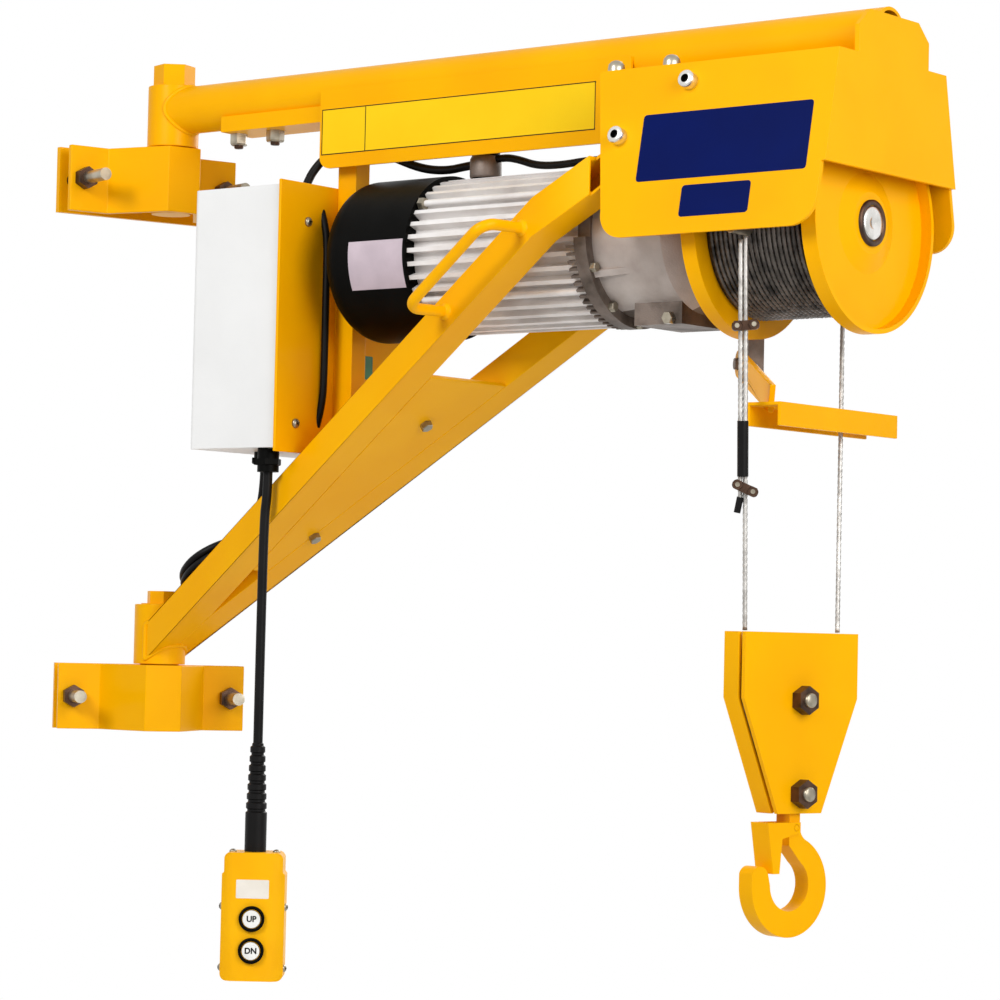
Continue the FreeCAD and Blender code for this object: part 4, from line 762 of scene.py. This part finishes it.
# %% Cables on the jib
CABLES = {
    "motor_cable": (8, ((388, 0, 496), (372, 0, 495), (350, -2, 492), (324, -5, 495), (298, -10, 505),
                        (272, -15, 517), (248, -16.5, 523), (224, -16.5, 518), (210, -22, 505),
                        (205, -30, 490), (204, -36, 474))),
    "plate_cable": (7, ((221, -29, 462), (228, -29, 444), (230, -29, 424), (230, -29, 390), (230, -29, 350),
                        (230, -29, 310), (229, -29, 278), (222, -29, 258))),
    "gear_cable": (7, ((398, 0, 498), (414, -1, 500), (432, -2, 497), (456, -5, 489), (486, -8, 487),
                       (520, -10, 489), (548, -12, 487), (566, -12, 482))),
}
for name, (dia, route) in CABLES.items():
    cable = spline(name, [on_arm(*p) for p in route], dia, RUBBER, "jib")
    round(length_of(cable), 2)
    print("%s %.3f m" % (name, length_of(cable)))
turned("gland_nut", [(0, 0), (14, 0), (14.6, 2), (14.6, 17), (13, 20), (0, 21)], FLANGE_AND_SHADE,
       axes(394, 0, 482), "jib")
for name, x, y, drop in (("cord_gland_nut", 200, -70, 22), ("lead_gland_nut", 150, -20, 12)):
    turned(name, [(0, 0), (12.5, 0), (12.5, 5), (11.6, 6), (0, 6)], FINISH["black_plastic"],
           facing(x, y, BOX_FOOT - drop * 0.45, (0, 0, -1)), "jib", 6, False)
plate("earth_tag", 17, 22, 1, 0.5, FINISH["green_tag"], facing(BOX_BACK, 37, 318, (1, 0, 0)), "jib")
print("gland nuts and a green tag")

# %% [markdown]
# ## Stickers
# Every sticker stays blank: two navy films on the hood's near panel and a pale yellow one, ruled with a
# thin dark line, on the label plate. Each is a plate a fraction of a millimetre thick, which has a sharp
# edge and needs no picture on the panel under it.

# %% Stickers
for name, left, end, low, high in (("panel_film", 638, 808, 450, 508), ("panel_band", 687, 756, 417, 444)):
    at = PANEL @ shift((left + end) / 2, (down_panel(low) + down_panel(high)) / 2)
    plate(name, end - left, down_panel(high) - down_panel(low), 3, 0.25, FINISH["navy_film"], at, "jib")
LABEL = axes(377, -26, 534) @ spun(90, "X")
RULE = 0.9
plate("label_film", 319, 43, 2, 0.2, FINISH["label_film"], LABEL, "jib")
for name, x, y, width, height in (("top", 0, 21, 318, RULE), ("foot", 0, -21, 318, RULE),
                                  ("left", -159, 0, RULE, 42.9), ("right", 159, 0, RULE, 42.9),
                                  ("middle", -106, 0, RULE, 42)):
    plate("label_line_" + name, width, height, 0.3, 0.3, INK_AND_SHADE, LABEL @ shift(x, y), "jib")
print("blank stickers")

# %% [markdown]
# ## Push-button station
# Black rings round the buttons, plain marks for up and down, six screws and a blank sticker. The marks are
# text objects, so a word is changed by typing. They ride on the buttons and go in with them.

# %% Push-button station
FRONT = 22
RING = [(8.6, 0), (11.7, 0), (11.9, 3.2), (11, 4.4), (9.4, 4.4), (8.7, 3.4), (8.6, 1)]
READ_FROM_FRONT = Matrix(((0, 0, 1, 0), (1, 0, 0, 0), (0, 1, 0, 0), (0, 0, 0, 1)))
for name, drop, word in (("up", 60, "UP"), ("down", 89, "DN")):
    turned(name + "_ring", RING, FINISH["black_plastic"], facing(FRONT, 0, -drop, (1, 0, 0), PENDANT), "jib")
    mark = bpy.data.curves.new(name + "_mark", "FONT")
    mark.body = word
    mark.size = 7.4 * MM
    mark.align_x = "CENTER"
    mark.align_y = "CENTER"
    mark.extrude = 0.1 * MM
    mark.offset = 0.25 * MM
    mark.materials.append(INK_AND_SHADE)
    item = bpy.data.objects.new(name + "_mark", mark)
    item.matrix_world = PENDANT @ shift(FRONT + 5.05, 0, -drop) @ READ_FROM_FRONT
    bpy.context.collection.objects.link(item)
    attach(item, name + "_button")
plate("station_sticker", 30, 17, 1, 0.2, FINISH["pale_film"], facing(FRONT, 0, -33, (1, 0, 0), PENDANT), "jib")
for side in (-1, 1):
    for drop in (50, 106):
        pan_screw(f"station_screw_{side + 1}_{drop}", facing(6, side * 28.6, -drop, (0.3, side, 0), PENDANT),
                  "jib", 7)
    pan_screw(f"station_top_screw_{side + 1}", facing(4, side * 20, -0.5, (0, 0, 1), PENDANT), "jib", 7)
print("push-button station dressed")
